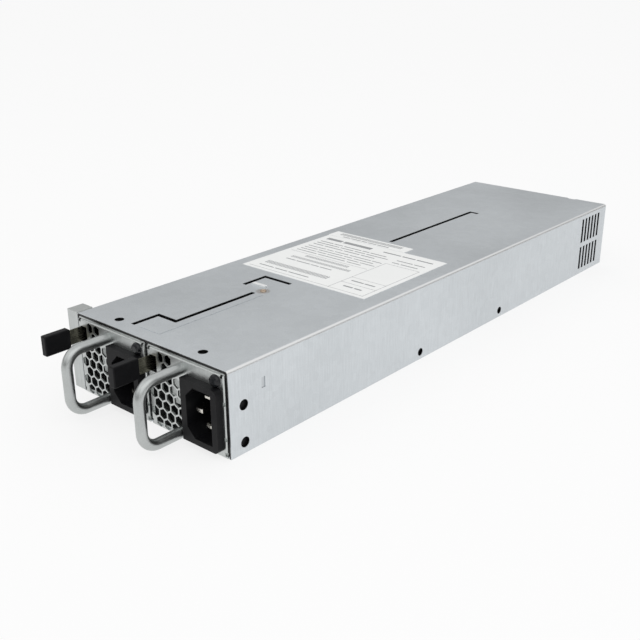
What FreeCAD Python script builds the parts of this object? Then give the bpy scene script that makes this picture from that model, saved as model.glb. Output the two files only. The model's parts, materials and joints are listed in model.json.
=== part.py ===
import FreeCAD, Part

import os
import re

import Sketcher

# A one-unit-high redundant power supply for a server: a sheet-metal cage with two hot-swap modules.
# Frame: X to the right, Y to the rear, Z up. The origin is the centre of the cage's underside.
# A module is drawn about its own centre plane, X = 0, and placed in its bay.

SIZES = (
    ("cage_width", "104"),
    ("cage_length", "350"),
    ("cage_height", "41"),
    ("cover_sheet", "1.2"),
    ("cover_bend", "1.5"),
    ("base_sheet", "1"),
    ("divider_sheet", "0.8"),
    ("panel_sheet", "1"),
    ("panel_foot", "12"),
    ("panel_gap", "0.3"),
    # tabs of the base that hook into the cover's walls, from the front edge
    ("tab_front", "300.6"),
    ("tab_length", "11.2"),
    ("tab_rear_length", "8.2"),
    # slots of the cover's top: distances from the front edge and to the left of the middle
    ("slot_width", "2.5"),
    ("slot_inner", "6.9"),
    ("slot_outer", "19.4"),
    ("slot_end", "1.2"),
    ("front_slot_start", "7.7"),
    ("front_slot_jog", "23"),
    ("front_slot_end", "74"),
    ("hook_slot_start", "79.4"),
    ("hook_slot_back", "95"),
    ("rear_slot_start", "187.7"),
    ("rear_slot_end", "274.5"),
    # creases beside the front slot, and the notch in the rear edge of the top
    ("crease_width", "0.5"),
    ("crease_depth", "0.15"),
    ("crease_side", "0.5"),
    ("crease_reach", "13.4"),
    ("edge_notch_x", "27.1"),
    ("edge_notch_wide", "5.5"),
    ("edge_notch_deep", "1.3"),
    # screw holes of the cage
    ("top_hole_radius", "2.3"),
    ("top_hole_setback", "7.5"),
    ("top_hole_spacing", "57.8"),
    ("side_hole_radius", "2.5"),
    ("side_hole_setback", "8.4"),
    ("side_hole_low", "5.2"),
    ("side_hole_spacing", "17.8"),
    ("foot_hole_radius", "2.1"),
    ("foot_hole_setback", "137"),
    ("foot_hole_spacing", "79.5"),
    ("foot_hole_rise", "4"),
    # side vents near the rear
    ("vent_start", "316.5"),
    ("vent_pitch", "4.4"),
    ("vent_count", "6"),
    ("vent_width", "2.4"),
    ("vent_low", "3.6"),
    ("vent_low_top", "18.6"),
    ("vent_high", "21.6"),
    ("vent_high_top", "37.4"),
    # half-sheared mark on the right wall
    ("mark_setback", "20.4"),
    ("mark_rise", "29.2"),
    ("mark_width", "2.2"),
    ("mark_tall", "5"),
    ("mark_depth", "0.3"),
    # mounting ear at the front left
    ("ear_width", "7.7"),
    ("ear_depth", "9"),
    ("ear_sheet", "1.2"),
    ("ear_round", "2.5"),
    # modules
    ("module_gap", "0.5"),
    ("module_lift", "0.3"),
    ("face_proud", "0.85"),
    ("face_sill", "0.1"),
    ("sill_gap", "0.3"),
    ("module_height", "38.3"),
    ("module_length", "289.45"),
    ("module_sheet", "0.8"),
    ("tray_wall", "10"),
    ("fold_depth", "6"),
    ("fold_gap", "0.4"),
    ("fold_round", "0.7"),
    ("relief", "1.4"),
    ("nick_wide", "1"),
    ("nick_tall", "1.8"),
    ("nick_sill", "0.7"),
    ("nick_low", "7.9"),
    ("nick_high", "24.5"),
    # honeycomb
    ("hex_pitch", "5.36"),
    ("hex_web", "0.81"),
    ("hex_left", "2.3"),
    ("hex_low", "1.75"),
    # handle
    ("handle_x", "-2.15"),
    ("handle_rod", "2.55"),
    ("handle_low", "3.1"),
    ("handle_span", "30"),
    ("handle_reach", "23"),
    ("handle_bend", "8"),
    ("handle_thread", "1.25"),
    ("thread_depth", "8"),
    ("thread_spare", "1"),
    ("screw_head", "2.05"),
    ("screw_head_thick", "1.7"),
    # mains inlet
    ("inlet_x", "12.3"),
    ("inlet_rise", "16.65"),
    ("flange_wide", "22.4"),
    ("flange_tall", "29.6"),
    ("flange_thick", "3.8"),
    ("flange_round", "2.5"),
    ("socket_wide", "15.6"),
    ("socket_tall", "24"),
    ("socket_deep", "16"),
    ("socket_chamfer", "4.6"),
    ("inlet_wall", "1.7"),
    ("inlet_floor", "4"),
    ("cutout_gap", "0.2"),
    ("pin_pitch", "14"),
    ("pin_offset", "4.2"),
    ("pin_shift", "1.9"),
    ("pin_wide", "4"),
    ("pin_thick", "2"),
    ("pin_recess", "5"),
    ("earth_recess", "3.8"),
    ("pin_tail", "6"),
    # filter bracket behind the grille
    ("bracket_left", "14"),
    ("bracket_low", "12"),
    ("bracket_stand", "3.4"),
    # status lamp
    ("lamp_x", "19.8"),
    ("lamp_drop", "3.2"),
    ("lamp_rim", "2.85"),
    ("lamp_bore", "1.6"),
    ("lamp_dome", "1.9"),
    ("lamp_round", "1.4"),
    ("lamp_shoulder", "0.45"),
    ("lamp_barrel", "5"),
    ("lamp_ring_long", "2"),
    ("lamp_ring_wall", "0.6"),
    # latch
    ("latch_slot_wide", "4.5"),
    ("latch_slot_low", "26"),
    ("latch_slot_tall", "8"),
    ("latch_slot_edge", "0.8"),
    ("strip_thick", "0.6"),
    ("strip_tall", "7.4"),
    ("strip_gap", "0.2"),
    ("strip_back", "60"),
    ("grip_front", "21"),
    ("grip_length", "13.4"),
    ("grip_thick", "3.6"),
    ("grip_tall", "10"),
    ("grip_proud", "1.3"),
    ("grip_round", "0.6"),
    ("catch_front", "20"),
    ("catch_flat", "1.5"),
    ("catch_ramp", "6.5"),
    ("catch_reach", "3"),
    ("catch_tall", "5"),
    ("window_gap", "0.6"),
    ("anchor_gap", "0.3"),
    ("anchor_thick", "2"),
    ("anchor_length", "6"),
    # fan
    ("fan_size", "35"),
    ("fan_depth", "28"),
    ("fan_place", "38"),
    ("fan_corner", "3"),
    ("fan_bore", "16.5"),
    ("fan_spoke", "1.8"),
    ("fan_mount", "3"),
    ("hub_radius", "8.8"),
    ("hub_wall", "2"),
    ("hub_front", "3"),
    ("hub_gap", "0.5"),
    ("shaft_radius", "1"),
    ("shaft_play", "0.05"),
    ("tube_radius", "3"),
    ("tube_length", "14"),
    ("blade_count", "7"),
    ("blade_tip_gap", "0.9"),
    ("blade_thick", "1.4"),
    ("blade_sweep", "7"),
    ("blade_length", "15"),
    # main board and what it carries
    ("board_thick", "1.6"),
    ("board_stand", "3"),
    ("board_edge_gap", "0.8"),
    ("board_front", "68"),
    ("stand_radius", "2.5"),
    ("stand_inset", "6"),
    ("tongue_wide", "38"),
    ("tongue_reach", "10.4"),
    ("tongue_gap", "0.2"),
    ("tongue_clear", "0.6"),
    ("capacitor_radius", "11"),
    ("capacitor_length", "45"),
    ("capacitor_place", "78"),
    ("capacitor_x", "-11"),
    ("capacitor_groove", "3"),
    ("capacitor_crimp", "0.6"),
    ("choke_radius", "10.4"),
    ("choke_hole", "4.5"),
    ("choke_tall", "11"),
    ("choke_x", "11.2"),
    ("core_wide", "34"),
    ("core_long", "36"),
    ("core_tall", "22"),
    ("core_limb", "5"),
    ("core_pole", "10"),
    ("core_place", "140"),
    ("coil_gap", "0.6"),
    ("coil_proud", "3.5"),
    ("coil_round", "3"),
    ("sink_place", "190"),
    ("sink_long", "60"),
    ("sink_wide", "36"),
    ("sink_tall", "26"),
    ("sink_base", "3"),
    ("fin_thick", "1.2"),
    ("fin_pitch", "4.35"),
    # rear plate of a module and the flush screws
    ("louvre_wide", "2"),
    ("louvre_pitch", "4.2"),
    ("louvre_count", "9"),
    ("louvre_low", "11"),
    ("louvre_tall", "22"),
    ("flush_head", "2.1"),
    ("flush_gap", "0.1"),
    ("flush_shank", "1.2"),
    ("flush_length", "2"),
    ("flush_rise", "5"),
    # backplane
    ("socket_gap", "1.9"),
    ("receptacle_deep", "12.5"),
    ("receptacle_wide", "44"),
    ("receptacle_tall", "8.6"),
    ("receptacle_slot", "9.5"),
    ("backplane_thick", "1.6"),
    ("backplane_side", "0.8"),
    ("backplane_low", "2.5"),
    ("backplane_tall", "35"),
    ("angle_tall", "15.5"),
    ("angle_foot", "12"),
    ("angle_sheet", "1"),
    ("angle_side", "6"),
    ("angle_screw_drop", "3"),
    # output connectors on the backplane
    ("header_deep", "12.8"),
    ("header_tall", "9.8"),
    ("header_cell", "3.6"),
    ("header_pitch", "4.2"),
    ("header_cell_deep", "9"),
    ("header_rise", "17"),
    ("main_header_cells", "12"),
    ("main_header_x", "-14"),
    ("side_header_cells", "4"),
    ("side_header_inset", "14.8"),
    # harness opening and vents of the rear panel
    ("harness_wide", "64"),
    ("harness_tall", "17"),
    ("harness_round", "4"),
    ("harness_x", "-8"),
    ("harness_low", "12.5"),
    ("grommet_wall", "1.5"),
    ("grommet_lip", "1.5"),
    ("panel_vent_count", "4"),
    ("panel_vent_inset", "20.8"),
    ("panel_vent_low", "10"),
    ("panel_vent_tall", "22"),
    # labels, rivet and hook on the cover's top
    ("label_sheet", "0.15"),
    ("label_left", "43.7"),
    ("label_wide", "85.1"),
    ("label_front", "102"),
    ("label_long", "73"),
    ("serial_left", "44.5"),
    ("serial_wide", "56.5"),
    ("serial_front", "175.4"),
    ("serial_long", "9"),
    ("rivet_radius", "1.7"),
    ("rivet_x", "4.6"),
    ("rivet_setback", "78.4"),
    ("rivet_tall", "0.5"),
    ("hook_left", "16.6"),
    ("hook_long", "9"),
    ("hook_wide", "2.2"),
    ("hook_thick", "0.7"),
    ("hook_setback", "83.4"),
    # fasteners of the cage
    ("cage_screw_head", "2.6"),
    ("cage_screw_shank", "1.5"),
    ("cage_screw_side", "40"),
)

doc = FreeCAD.newDocument("server_power_supply")
sheet = doc.addObject("Spreadsheet::Sheet", "Sizes")
for row, (alias, number) in enumerate(SIZES, start=1):
    sheet.set(f"A{row}", alias)
    sheet.set(f"B{row}", number)
    sheet.setAlias(f"B{row}", alias)
doc.recompute()

NAMES = re.compile(r"\b(" + "|".join(alias for alias, number in SIZES) + r")\b")
vector = FreeCAD.Vector

# Name and sign of each side of the middle.
SIDES = (("left", "-1"), ("right", "1"))

# Formulas of the sizes that several pieces share.
FRONT = "(-cage_length / 2)"
REAR = "(cage_length / 2)"
INNER = "(cage_width / 2 - cover_sheet)"
CEILING = "(cage_height - cover_sheet)"
BAY = f"({INNER} - divider_sheet / 2)"
MODULE_X = f"(divider_sheet / 2 + {BAY} / 2)"
HALF = f"({BAY} / 2 - module_gap)"
INSIDE = f"({HALF} - module_sheet)"
LOW = "(base_sheet + module_lift)"
TOP = f"({LOW} + module_height)"
FACE = f"({FRONT} - face_proud)"
BACK_OF_FACE = f"({FACE} + module_sheet)"
MODULE_END = f"({FACE} + module_length)"
FLOOR = f"({LOW} + module_sheet)"
LID = f"({TOP} - module_sheet)"
HANDLE_LOW = f"({LOW} + handle_low)"
HANDLE_HIGH = f"({HANDLE_LOW} + handle_span)"
INLET_Z = f"({LOW} + inlet_rise)"
BODY_WIDE = "(socket_wide + 2 * inlet_wall)"
BODY_TALL = "(socket_tall + 2 * inlet_wall)"
PIN_X = "(inlet_x - pin_shift + pin_offset / 2)"
EARTH_X = "(inlet_x - pin_shift - pin_offset / 2)"
LAMP_Z = f"({LID} - lamp_drop)"
SLOT_RIGHT = f"(-{INSIDE} + latch_slot_edge + latch_slot_wide)"
STRIP_LEFT = f"(-{INSIDE} + module_sheet + strip_gap)"
STRIP_LOW = f"({LOW} + latch_slot_low + (latch_slot_tall - strip_tall) / 2)"
STRIP_MID = f"({STRIP_LOW} + strip_tall / 2)"
STRIP_END = f"({FACE} + strip_back)"
CATCH_Y = f"({FACE} + catch_front)"
CATCH_LONG = "(catch_flat + catch_ramp)"
FAN_Y = f"({FACE} + fan_place)"
FAN_Z = f"({FLOOR} + fan_size / 2)"
BOARD_Z = f"({FLOOR} + board_stand)"
BOARD_TOP = f"({BOARD_Z} + board_thick)"
BOARD_Y = f"({FACE} + board_front)"
BOARD_SIDE = f"({INSIDE} - module_sheet - board_edge_gap)"
RECEPTACLE_Y = f"({MODULE_END} + socket_gap)"
BACKPLANE_Y = f"({RECEPTACLE_Y} + receptacle_deep)"
BACKPLANE_BACK = f"({BACKPLANE_Y} + backplane_thick)"
RECEPTACLE_LOW = f"({BOARD_Z} + board_thick / 2 - receptacle_tall / 2)"
PANEL_Y = f"({REAR} - panel_sheet)"
ANGLE_SCREW_Y = f"({BACKPLANE_BACK} + angle_foot / 2)"
PANEL_SCREW_Y = f"({REAR} - panel_foot / 2)"
ANGLE_SCREW_Z = "(base_sheet + angle_tall - angle_screw_drop)"


def bind(thing, prop, formula):
    """Ties a property of an object to a formula of named sizes."""
    thing.setExpression(prop, NAMES.sub(r"Sizes.\1", formula))


def value(formula):
    """The present value of a formula of named sizes."""
    return float(sheet.evalExpression(formula))


def body(label, x="0", y="0", z="0"):
    """An empty body whose own origin lies at x, y, z."""
    made = doc.addObject("PartDesign::Body", label)
    made.Label = label
    for axis, formula in (("x", x), ("y", y), ("z", z)):
        bind(made, f"Placement.Base.{axis}", formula)
    return made


def origin_feature(owner, role):
    """The plane or axis of a body's own origin that has the given role."""
    return next(feature for feature in owner.Origin.OriginFeatures if feature.Role == role)


def rect(x0, y0, x1, y1, round_by=None):
    """A rectangle from corner to corner, with its corners rounded if a radius is given."""
    corners = [(x0, y0), (x1, y0), (x1, y1), (x0, y1)]
    return loop(corners, {index: round_by for index in range(4)} if round_by else {})


def block(x, y, wide, tall, round_by=None):
    """A rectangle about its centre."""
    return rect(f"{x} - {wide} / 2", f"{y} - {tall} / 2", f"{x} + {wide} / 2", f"{y} + {tall} / 2", round_by)


def loop(corners, rounds=None):
    """A closed outline; rounds gives a radius to some corners, whose sides then run along the axes."""
    return ("loop", corners, rounds or {})


def circle(x, y, radius):
    return ("circle", x, y, radius)


def track(points, width):
    """The outline of a slot of constant width along a path of runs parallel to the axes."""
    steps = []
    for (x0, y0), (x1, y1) in zip(points, points[1:]):
        dx = value(f"{x1} - ({x0})")
        dy = value(f"{y1} - ({y0})")
        steps.append((0 if abs(dx) < abs(dy) else (1 if dx > 0 else -1),
                      0 if abs(dx) >= abs(dy) else (1 if dy > 0 else -1)))
    left = []
    right = []
    for index, (x, y) in enumerate(points):
        near = {steps[max(index - 1, 0)], steps[min(index, len(steps) - 1)]}
        across = -sum(step[1] for step in near)
        along = sum(step[0] for step in near)
        left.append((f"{x} + {across} * {width} / 2", f"{y} + {along} * {width} / 2"))
        right.append((f"{x} - {across} * {width} / 2", f"{y} - {along} * {width} / 2"))
    return loop(left + right[::-1])


class Drawing:
    """A sketch on one plane of a body's own origin, whose outlines are tied to the named sizes."""

    def __init__(self, owner, role, place, name):
        self.sketch = owner.newObject("Sketcher::SketchObject", f"{owner.Label}_{name}")
        self.sketch.AttachmentSupport = [(origin_feature(owner, f"{role}_Plane"), "")]
        self.sketch.MapMode = "FlatFace"
        # the XZ plane faces the front, so its offset counts the other way
        bind(self.sketch, "AttachmentOffset.Base.z", f"-({place})" if role == "XZ" else place)
        self.rules = []
        self.ties = []

    def rule(self, *terms, formula=None):
        """Adds one constraint, tied to a formula where one is given."""
        if formula is not None:
            self.ties.append((len(self.rules), formula))
            terms = (*terms, value(formula))
        self.rules.append(Sketcher.Constraint(*terms))

    def pin_point(self, piece, end, x, y):
        """Holds one point of a piece at x, y."""
        self.rule("DistanceX", -1, 1, piece, end, formula=x)
        self.rule("DistanceY", -1, 1, piece, end, formula=y)

    def add_circle(self, x, y, radius):
        round_edge = Part.Circle(vector(value(x), value(y), 0), vector(0, 0, 1), value(radius))
        piece = self.sketch.addGeometry(round_edge, False)
        self.pin_point(piece, 3, x, y)
        self.rule("Radius", piece, formula=radius)

    def add_corners(self, corners, closed=True):
        """Straight lines from corner to corner."""
        count = len(corners)
        spots = [vector(value(x), value(y), 0) for x, y in corners]
        last = count if closed else count - 1
        pieces = [
            self.sketch.addGeometry(Part.LineSegment(spots[i], spots[(i + 1) % count]), False)
            for i in range(last)
        ]
        for index, piece in enumerate(pieces):
            self.pin_point(piece, 1, *corners[index])
            if index + 1 < last:
                self.rule("Coincident", piece, 2, pieces[index + 1], 1)
        if closed:
            self.rule("Coincident", pieces[-1], 2, pieces[0], 1)
        else:
            self.pin_point(pieces[-1], 2, *corners[-1])

    def add_rounded(self, corners, rounds, closed=True):
        """Lines along the two axes, with an arc at each corner that has a radius."""
        count = len(corners)
        spots = [vector(value(x), value(y), 0) for x, y in corners]
        last = count if closed else count - 1
        runs = [(spots[(i + 1) % count] - spots[i]).normalize() for i in range(last)]
        trims = [value(rounds[i]) if i in rounds else 0 for i in range(count)]
        lines = []
        for i in range(last):
            start = spots[i] + runs[i] * trims[i]
            stop = spots[(i + 1) % count] - runs[i] * trims[(i + 1) % count]
            lines.append(self.sketch.addGeometry(Part.LineSegment(start, stop), False))
            level = abs(runs[i].y) < 0.5
            self.rule("Horizontal" if level else "Vertical", lines[i])
            if level:
                self.rule("DistanceY", -1, 1, lines[i], 1, formula=corners[i][1])
            else:
                self.rule("DistanceX", -1, 1, lines[i], 1, formula=corners[i][0])
        for i in range(count if closed else count - 1):
            if not closed and i == 0:
                continue
            before = lines[i - 1]
            after = lines[i]
            if not trims[i]:
                self.rule("Coincident", before, 2, after, 1)
                continue
            self.add_bend(spots[i], runs[i - 1], runs[i], before, after, rounds[i])
        if not closed:
            first_level = abs(runs[0].y) < 0.5
            self.rule("DistanceX" if first_level else "DistanceY", -1, 1, lines[0], 1,
                      formula=corners[0][0 if first_level else 1])
            last_level = abs(runs[-1].y) < 0.5
            self.rule("DistanceX" if last_level else "DistanceY", -1, 1, lines[-1], 2,
                      formula=corners[-1][0 if last_level else 1])

    def add_bend(self, spot, run_in, run_out, before, after, radius):
        """An arc between two lines, tangent to both."""
        size = value(radius)
        centre = spot - run_in * size + run_out * size
        left_turn = run_in.cross(run_out).z > 0
        first, second = (-run_out, run_in) if left_turn else (run_in, -run_out)
        angles = [FreeCAD.Vector(1, 0, 0).getAngle(d) * (1 if d.y >= 0 else -1) for d in (first, second)]
        ring = Part.Circle(centre, vector(0, 0, 1), size)
        arc = self.sketch.addGeometry(Part.ArcOfCircle(ring, angles[0], angles[1]), False)
        entry, leave = (1, 2) if left_turn else (2, 1)
        self.rule("Tangent", before, 2, arc, entry)
        self.rule("Tangent", arc, leave, after, 1)
        self.rule("Radius", arc, formula=radius)

    def add(self, shape):
        if shape[0] == "circle":
            self.add_circle(*shape[1:])
        elif shape[2]:
            self.add_rounded(shape[1], shape[2])
        else:
            self.add_corners(shape[1])

    def finish(self):
        """Sets the constraints and ties them, and gives back the sketch."""
        self.sketch.addConstraint(self.rules)
        for index, formula in self.ties:
            bind(self.sketch, f"Constraints[{index}]", formula)
        return self.sketch


def drawn(owner, role, place, name, *shapes):
    """A finished sketch with the given outlines."""
    drawing = Drawing(owner, role, place, name)
    for shape in shapes:
        drawing.add(shape)
    return drawing.finish()


def extrude(owner, role, place, length, name, *shapes):
    """Adds material from a plane at place, by length, towards the positive end of its axis."""
    pad = owner.newObject("PartDesign::Pad", f"{owner.Label}_{name}_pad")
    pad.Profile = drawn(owner, role, place, name, *shapes)
    bind(pad, "Length", length)
    pad.Reversed = role == "XZ"
    return pad


def cut(owner, role, place, length, name, *shapes):
    """Takes material away from a plane at place, by length, towards the positive end of its axis."""
    pocket = owner.newObject("PartDesign::Pocket", f"{owner.Label}_{name}_cut")
    pocket.Profile = drawn(owner, role, place, name, *shapes)
    bind(pocket, "Length", length)
    pocket.Reversed = role != "XZ"
    return pocket


def revolve(owner, name, corners):
    """Turns an outline of (radius, y) corners about the body's own Y axis."""
    turned = owner.newObject("PartDesign::Revolution", f"{owner.Label}_{name}_turn")
    turned.Profile = drawn(owner, "XY", "0", name, loop(corners))
    turned.ReferenceAxis = (turned.Profile[0], ["V_Axis"])
    turned.Angle = 360
    return turned


def line_pattern(owner, features, axis, pitch, count, name):
    """Repeats features along one axis of the body."""
    pattern = owner.newObject("PartDesign::LinearPattern", f"{owner.Label}_{name}_row")
    pattern.Originals = features
    pattern.Direction = (origin_feature(owner, f"{axis}_Axis"), [""])
    pattern.Mode = "Spacing"
    bind(pattern, "Offset", pitch)
    bind(pattern, "Occurrences", count)
    owner.Tip = pattern
    return pattern


def grid_pattern(owner, feature, pitch_x, count_x, pitch_z, count_z, name):
    """Repeats one feature along X and Z."""
    steps = []
    for axis, pitch, count in (("X", pitch_x, count_x), ("Z", pitch_z, count_z)):
        step = owner.newObject("PartDesign::LinearPattern", f"{owner.Label}_{name}_{axis}")
        step.Direction = (origin_feature(owner, f"{axis}_Axis"), [""])
        step.Mode = "Spacing"
        bind(step, "Offset", pitch)
        bind(step, "Occurrences", count)
        steps.append(step)
    grid = owner.newObject("PartDesign::MultiTransform", f"{owner.Label}_{name}_grid")
    grid.Originals = [feature]
    grid.Transformations = steps
    owner.Tip = grid
    return grid


def soften(owner, radius, chosen, name):
    """Rounds the edges of a body for which chosen(edge) is true."""
    doc.recompute()
    base = owner.Tip
    picked = [f"Edge{i}" for i, edge in enumerate(base.Shape.Edges, start=1) if chosen(edge)]
    fillet = owner.newObject("PartDesign::Fillet", f"{owner.Label}_{name}_round")
    fillet.Base = (base, picked)
    bind(fillet, "Radius", radius)
    return fillet


def lies_at(edge, **spots):
    """Whether the whole of an edge lies at the given x, y or z."""
    box = edge.BoundBox
    for axis, formula in spots.items():
        low, high = {"x": (box.XMin, box.XMax), "y": (box.YMin, box.YMax), "z": (box.ZMin, box.ZMax)}[axis]
        if abs(low - value(formula)) > 0.01 or abs(high - value(formula)) > 0.01:
            return False
    return True


def rod(label, name, axis, x, y, z, radius, length):
    """A round bar from x, y, z towards the positive end of an axis."""
    bar = doc.addObject("Part::Cylinder", f"{label}_{name}")
    bind(bar, "Radius", radius)
    bind(bar, "Height", length)
    turn = {"X": (vector(0, 1, 0), 90), "Y": (vector(1, 0, 0), -90), "Z": (vector(0, 0, 1), 0)}[axis]
    bar.Placement = FreeCAD.Placement(vector(0, 0, 0), FreeCAD.Rotation(*turn))
    for direction, formula in (("x", x), ("y", y), ("z", z)):
        bind(bar, f"Placement.Base.{direction}", formula)
    return bar


def group(label, members, x="0"):
    """Separate solids that share one sub-part."""
    made = doc.addObject("Part::Compound", label)
    made.Label = label
    made.Links = members
    bind(made, "Placement.Base.x", x)
    return made


def screw(label, name, axis, spot, back, head, shank):
    """A screw from the centre of its head's outer face; back turns it to point to the negative end."""
    head_radius, head_thick = head
    shank_radius, shank_length = shank
    along = "xyz"["XYZ".index(axis)]
    place = dict(zip("xyz", spot))
    head_place = dict(place)
    shank_place = dict(place)
    if back:
        head_place[along] = f"{place[along]} - ({head_thick})"
        shank_place[along] = f"{place[along]} - ({head_thick}) - ({shank_length})"
    else:
        shank_place[along] = f"{place[along]} + ({head_thick})"
    cap = rod(label, f"{name}_head", axis, *head_place.values(), head_radius, head_thick)
    stem = rod(label, f"{name}_shank", axis, *shank_place.values(), shank_radius, shank_length)
    joined = doc.addObject("Part::Fuse", f"{label}_{name}")
    joined.Base = cap
    joined.Tool = stem
    return joined


def plate(label, corner, lengths):
    """A plain rectangular piece from its low corner."""
    made = doc.addObject("Part::Box", label)
    made.Label = label
    for prop, formula in zip(("Length", "Width", "Height"), lengths):
        bind(made, prop, formula)
    for axis, formula in zip("xyz", corner):
        bind(made, f"Placement.Base.{axis}", formula)


# ---------------------------------------------------------------- cage

def cage_cover():
    """Top and both walls of the cage, bent from one sheet."""
    cover = body("cage_cover")
    outer = "cage_width / 2"
    corners = [
        (f"-{outer}", "0"), (f"-{INNER}", "0"), (f"-{INNER}", CEILING), (INNER, CEILING),
        (INNER, "0"), (outer, "0"), (outer, "cage_height"), (f"-{outer}", "cage_height"),
    ]
    inside_bend = "cover_bend - cover_sheet"
    rounds = {2: inside_bend, 3: inside_bend, 6: "cover_bend", 7: "cover_bend"}
    extrude(cover, "XZ", FRONT, "cage_length", "shell", loop(corners, rounds))
    inner = "-slot_inner"
    far = "-slot_outer"
    end = "-slot_end"
    front_slot = [
        (far, f"{FRONT} + front_slot_start"), (far, f"{FRONT} + front_slot_jog"),
        (inner, f"{FRONT} + front_slot_jog"), (inner, f"{FRONT} + front_slot_end"),
    ]
    hook_slot = [
        (far, f"{FRONT} + hook_slot_start"), (far, f"{FRONT} + hook_slot_back"),
        (end, f"{FRONT} + hook_slot_back"),
    ]
    rear_slot = [
        (inner, f"{FRONT} + rear_slot_start"), (inner, f"{FRONT} + rear_slot_end"),
        (end, f"{FRONT} + rear_slot_end"),
    ]
    holes = [
        circle(f"{side} * top_hole_spacing / 2", f"{FRONT} + top_hole_setback", "top_hole_radius")
        for side in (-1, 1)
    ]
    slots = [track(path, "slot_width") for path in (front_slot, hook_slot, rear_slot)]
    edge_notch = rect("edge_notch_x - edge_notch_wide / 2", f"{REAR} - edge_notch_deep",
                      "edge_notch_x + edge_notch_wide / 2", REAR)
    cut(cover, "XY", CEILING, "cover_sheet", "top", *slots, *holes, edge_notch)
    crease = track([
        ("-crease_reach", f"{FRONT} + front_slot_start"), ("-crease_side", f"{FRONT} + front_slot_start"),
        ("-crease_side", f"{FRONT} + front_slot_end"),
    ], "crease_width")
    cut(cover, "XY", "cage_height - crease_depth", "crease_depth", "crease", crease)
    side_holes = [
        circle(f"{FRONT} + side_hole_setback", f"side_hole_low + {step} * side_hole_spacing",
               "side_hole_radius")
        for step in (0, 1)
    ]
    foot_holes = [
        circle(f"{FRONT} + foot_hole_setback + {step} * foot_hole_spacing", "foot_hole_rise",
               "foot_hole_radius")
        for step in (0, 1)
    ]
    cut(cover, "YZ", INNER, "cover_sheet", "right_holes", *side_holes, *foot_holes)
    cut(cover, "YZ", f"-{outer}", "cover_sheet", "left_holes", *foot_holes, catch_window())
    notches = [
        rect(f"{FRONT} + tab_front", "0", f"{FRONT} + tab_front + tab_length", "base_sheet"),
        rect(f"{REAR} - tab_rear_length", "0", REAR, "base_sheet"),
    ]
    cut(cover, "YZ", f"-{outer}", "cage_width", "notches", *notches)
    mark = block(f"({FRONT} + mark_setback)", "mark_rise", "mark_width", "mark_tall")
    cut(cover, "YZ", f"{outer} - mark_depth", "mark_depth", "mark", mark)
    first = f"{FRONT} + vent_start"
    vents = cut(cover, "YZ", f"-{outer}", "cage_width", "vents",
                rect(first, "vent_low", f"{first} + vent_width", "vent_low_top"),
                rect(first, "vent_high", f"{first} + vent_width", "vent_high_top"))
    line_pattern(cover, [vents], "Y", "vent_pitch", "vent_count", "vents")


def catch_window():
    """The opening that a module's catch enters, as an outline in Y and Z."""
    low = f"({STRIP_MID} - catch_tall / 2 - window_gap)"
    high = f"({STRIP_MID} + catch_tall / 2 + window_gap)"
    return rect(f"{CATCH_Y} - window_gap", low, f"{CATCH_Y} + {CATCH_LONG} + window_gap", high)


def cage_base():
    """Bottom sheet of the cage, whose tabs hook into the cover's walls."""
    base = body("cage_base")
    outer = "cage_width / 2"
    front_tab = f"{FRONT} + tab_front"
    back_tab = f"{FRONT} + tab_front + tab_length"
    last_tab = f"{REAR} - tab_rear_length"
    side = [
        (INNER, f"{FRONT} + sill_gap"), (INNER, front_tab), (outer, front_tab), (outer, back_tab),
        (INNER, back_tab), (INNER, last_tab), (outer, last_tab), (outer, REAR),
    ]
    mirrored = [(f"-({x})", y) for x, y in side[::-1]]
    screws = [
        circle(f"{step} * cage_screw_side", y, "cage_screw_head")
        for step in (-1, 1) for y in (ANGLE_SCREW_Y, PANEL_SCREW_Y)
    ]
    extrude(base, "XY", "0", "base_sheet", "sheet", loop(side + mirrored), *screws)


def bay_divider():
    """Wall between the two bays, with the window of the right module's catch."""
    divider = body("bay_divider")
    tail = f"({BACKPLANE_Y} - backplane_side)"
    wall = rect(f"{FRONT} + sill_gap", "base_sheet", tail, CEILING)
    sheet_low = "-divider_sheet / 2"
    extrude(divider, "YZ", sheet_low, "divider_sheet", "wall", wall, catch_window())
    # clear of the two receptacles
    room = rect(f"{MODULE_END}", f"{RECEPTACLE_LOW} - tongue_clear", tail,
                f"{RECEPTACLE_LOW} + receptacle_tall + tongue_clear")
    cut(divider, "YZ", sheet_low, "divider_sheet", "room", room)


def mounting_ear():
    """Folded ear at the front left: a front face, a top face and the flange on the cage's wall."""
    ear = body("mounting_ear")
    wall = "-cage_width / 2"
    tip = f"{wall} - ear_width"
    corner = [
        (tip, FRONT), (wall, FRONT), (wall, f"{FRONT} + ear_depth"),
        (f"{wall} - ear_sheet", f"{FRONT} + ear_depth"), (f"{wall} - ear_sheet", f"{FRONT} + ear_sheet"),
        (tip, f"{FRONT} + ear_sheet"),
    ]
    extrude(ear, "XY", "0", "cage_height", "angle", loop(corner))
    top = [(tip, FRONT), (wall, FRONT), (wall, f"{FRONT} + ear_depth"), (tip, f"{FRONT} + ear_depth")]
    extrude(ear, "XY", "cage_height - ear_sheet", "ear_sheet", "top", loop(top, {2: "ear_round"}))


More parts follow.
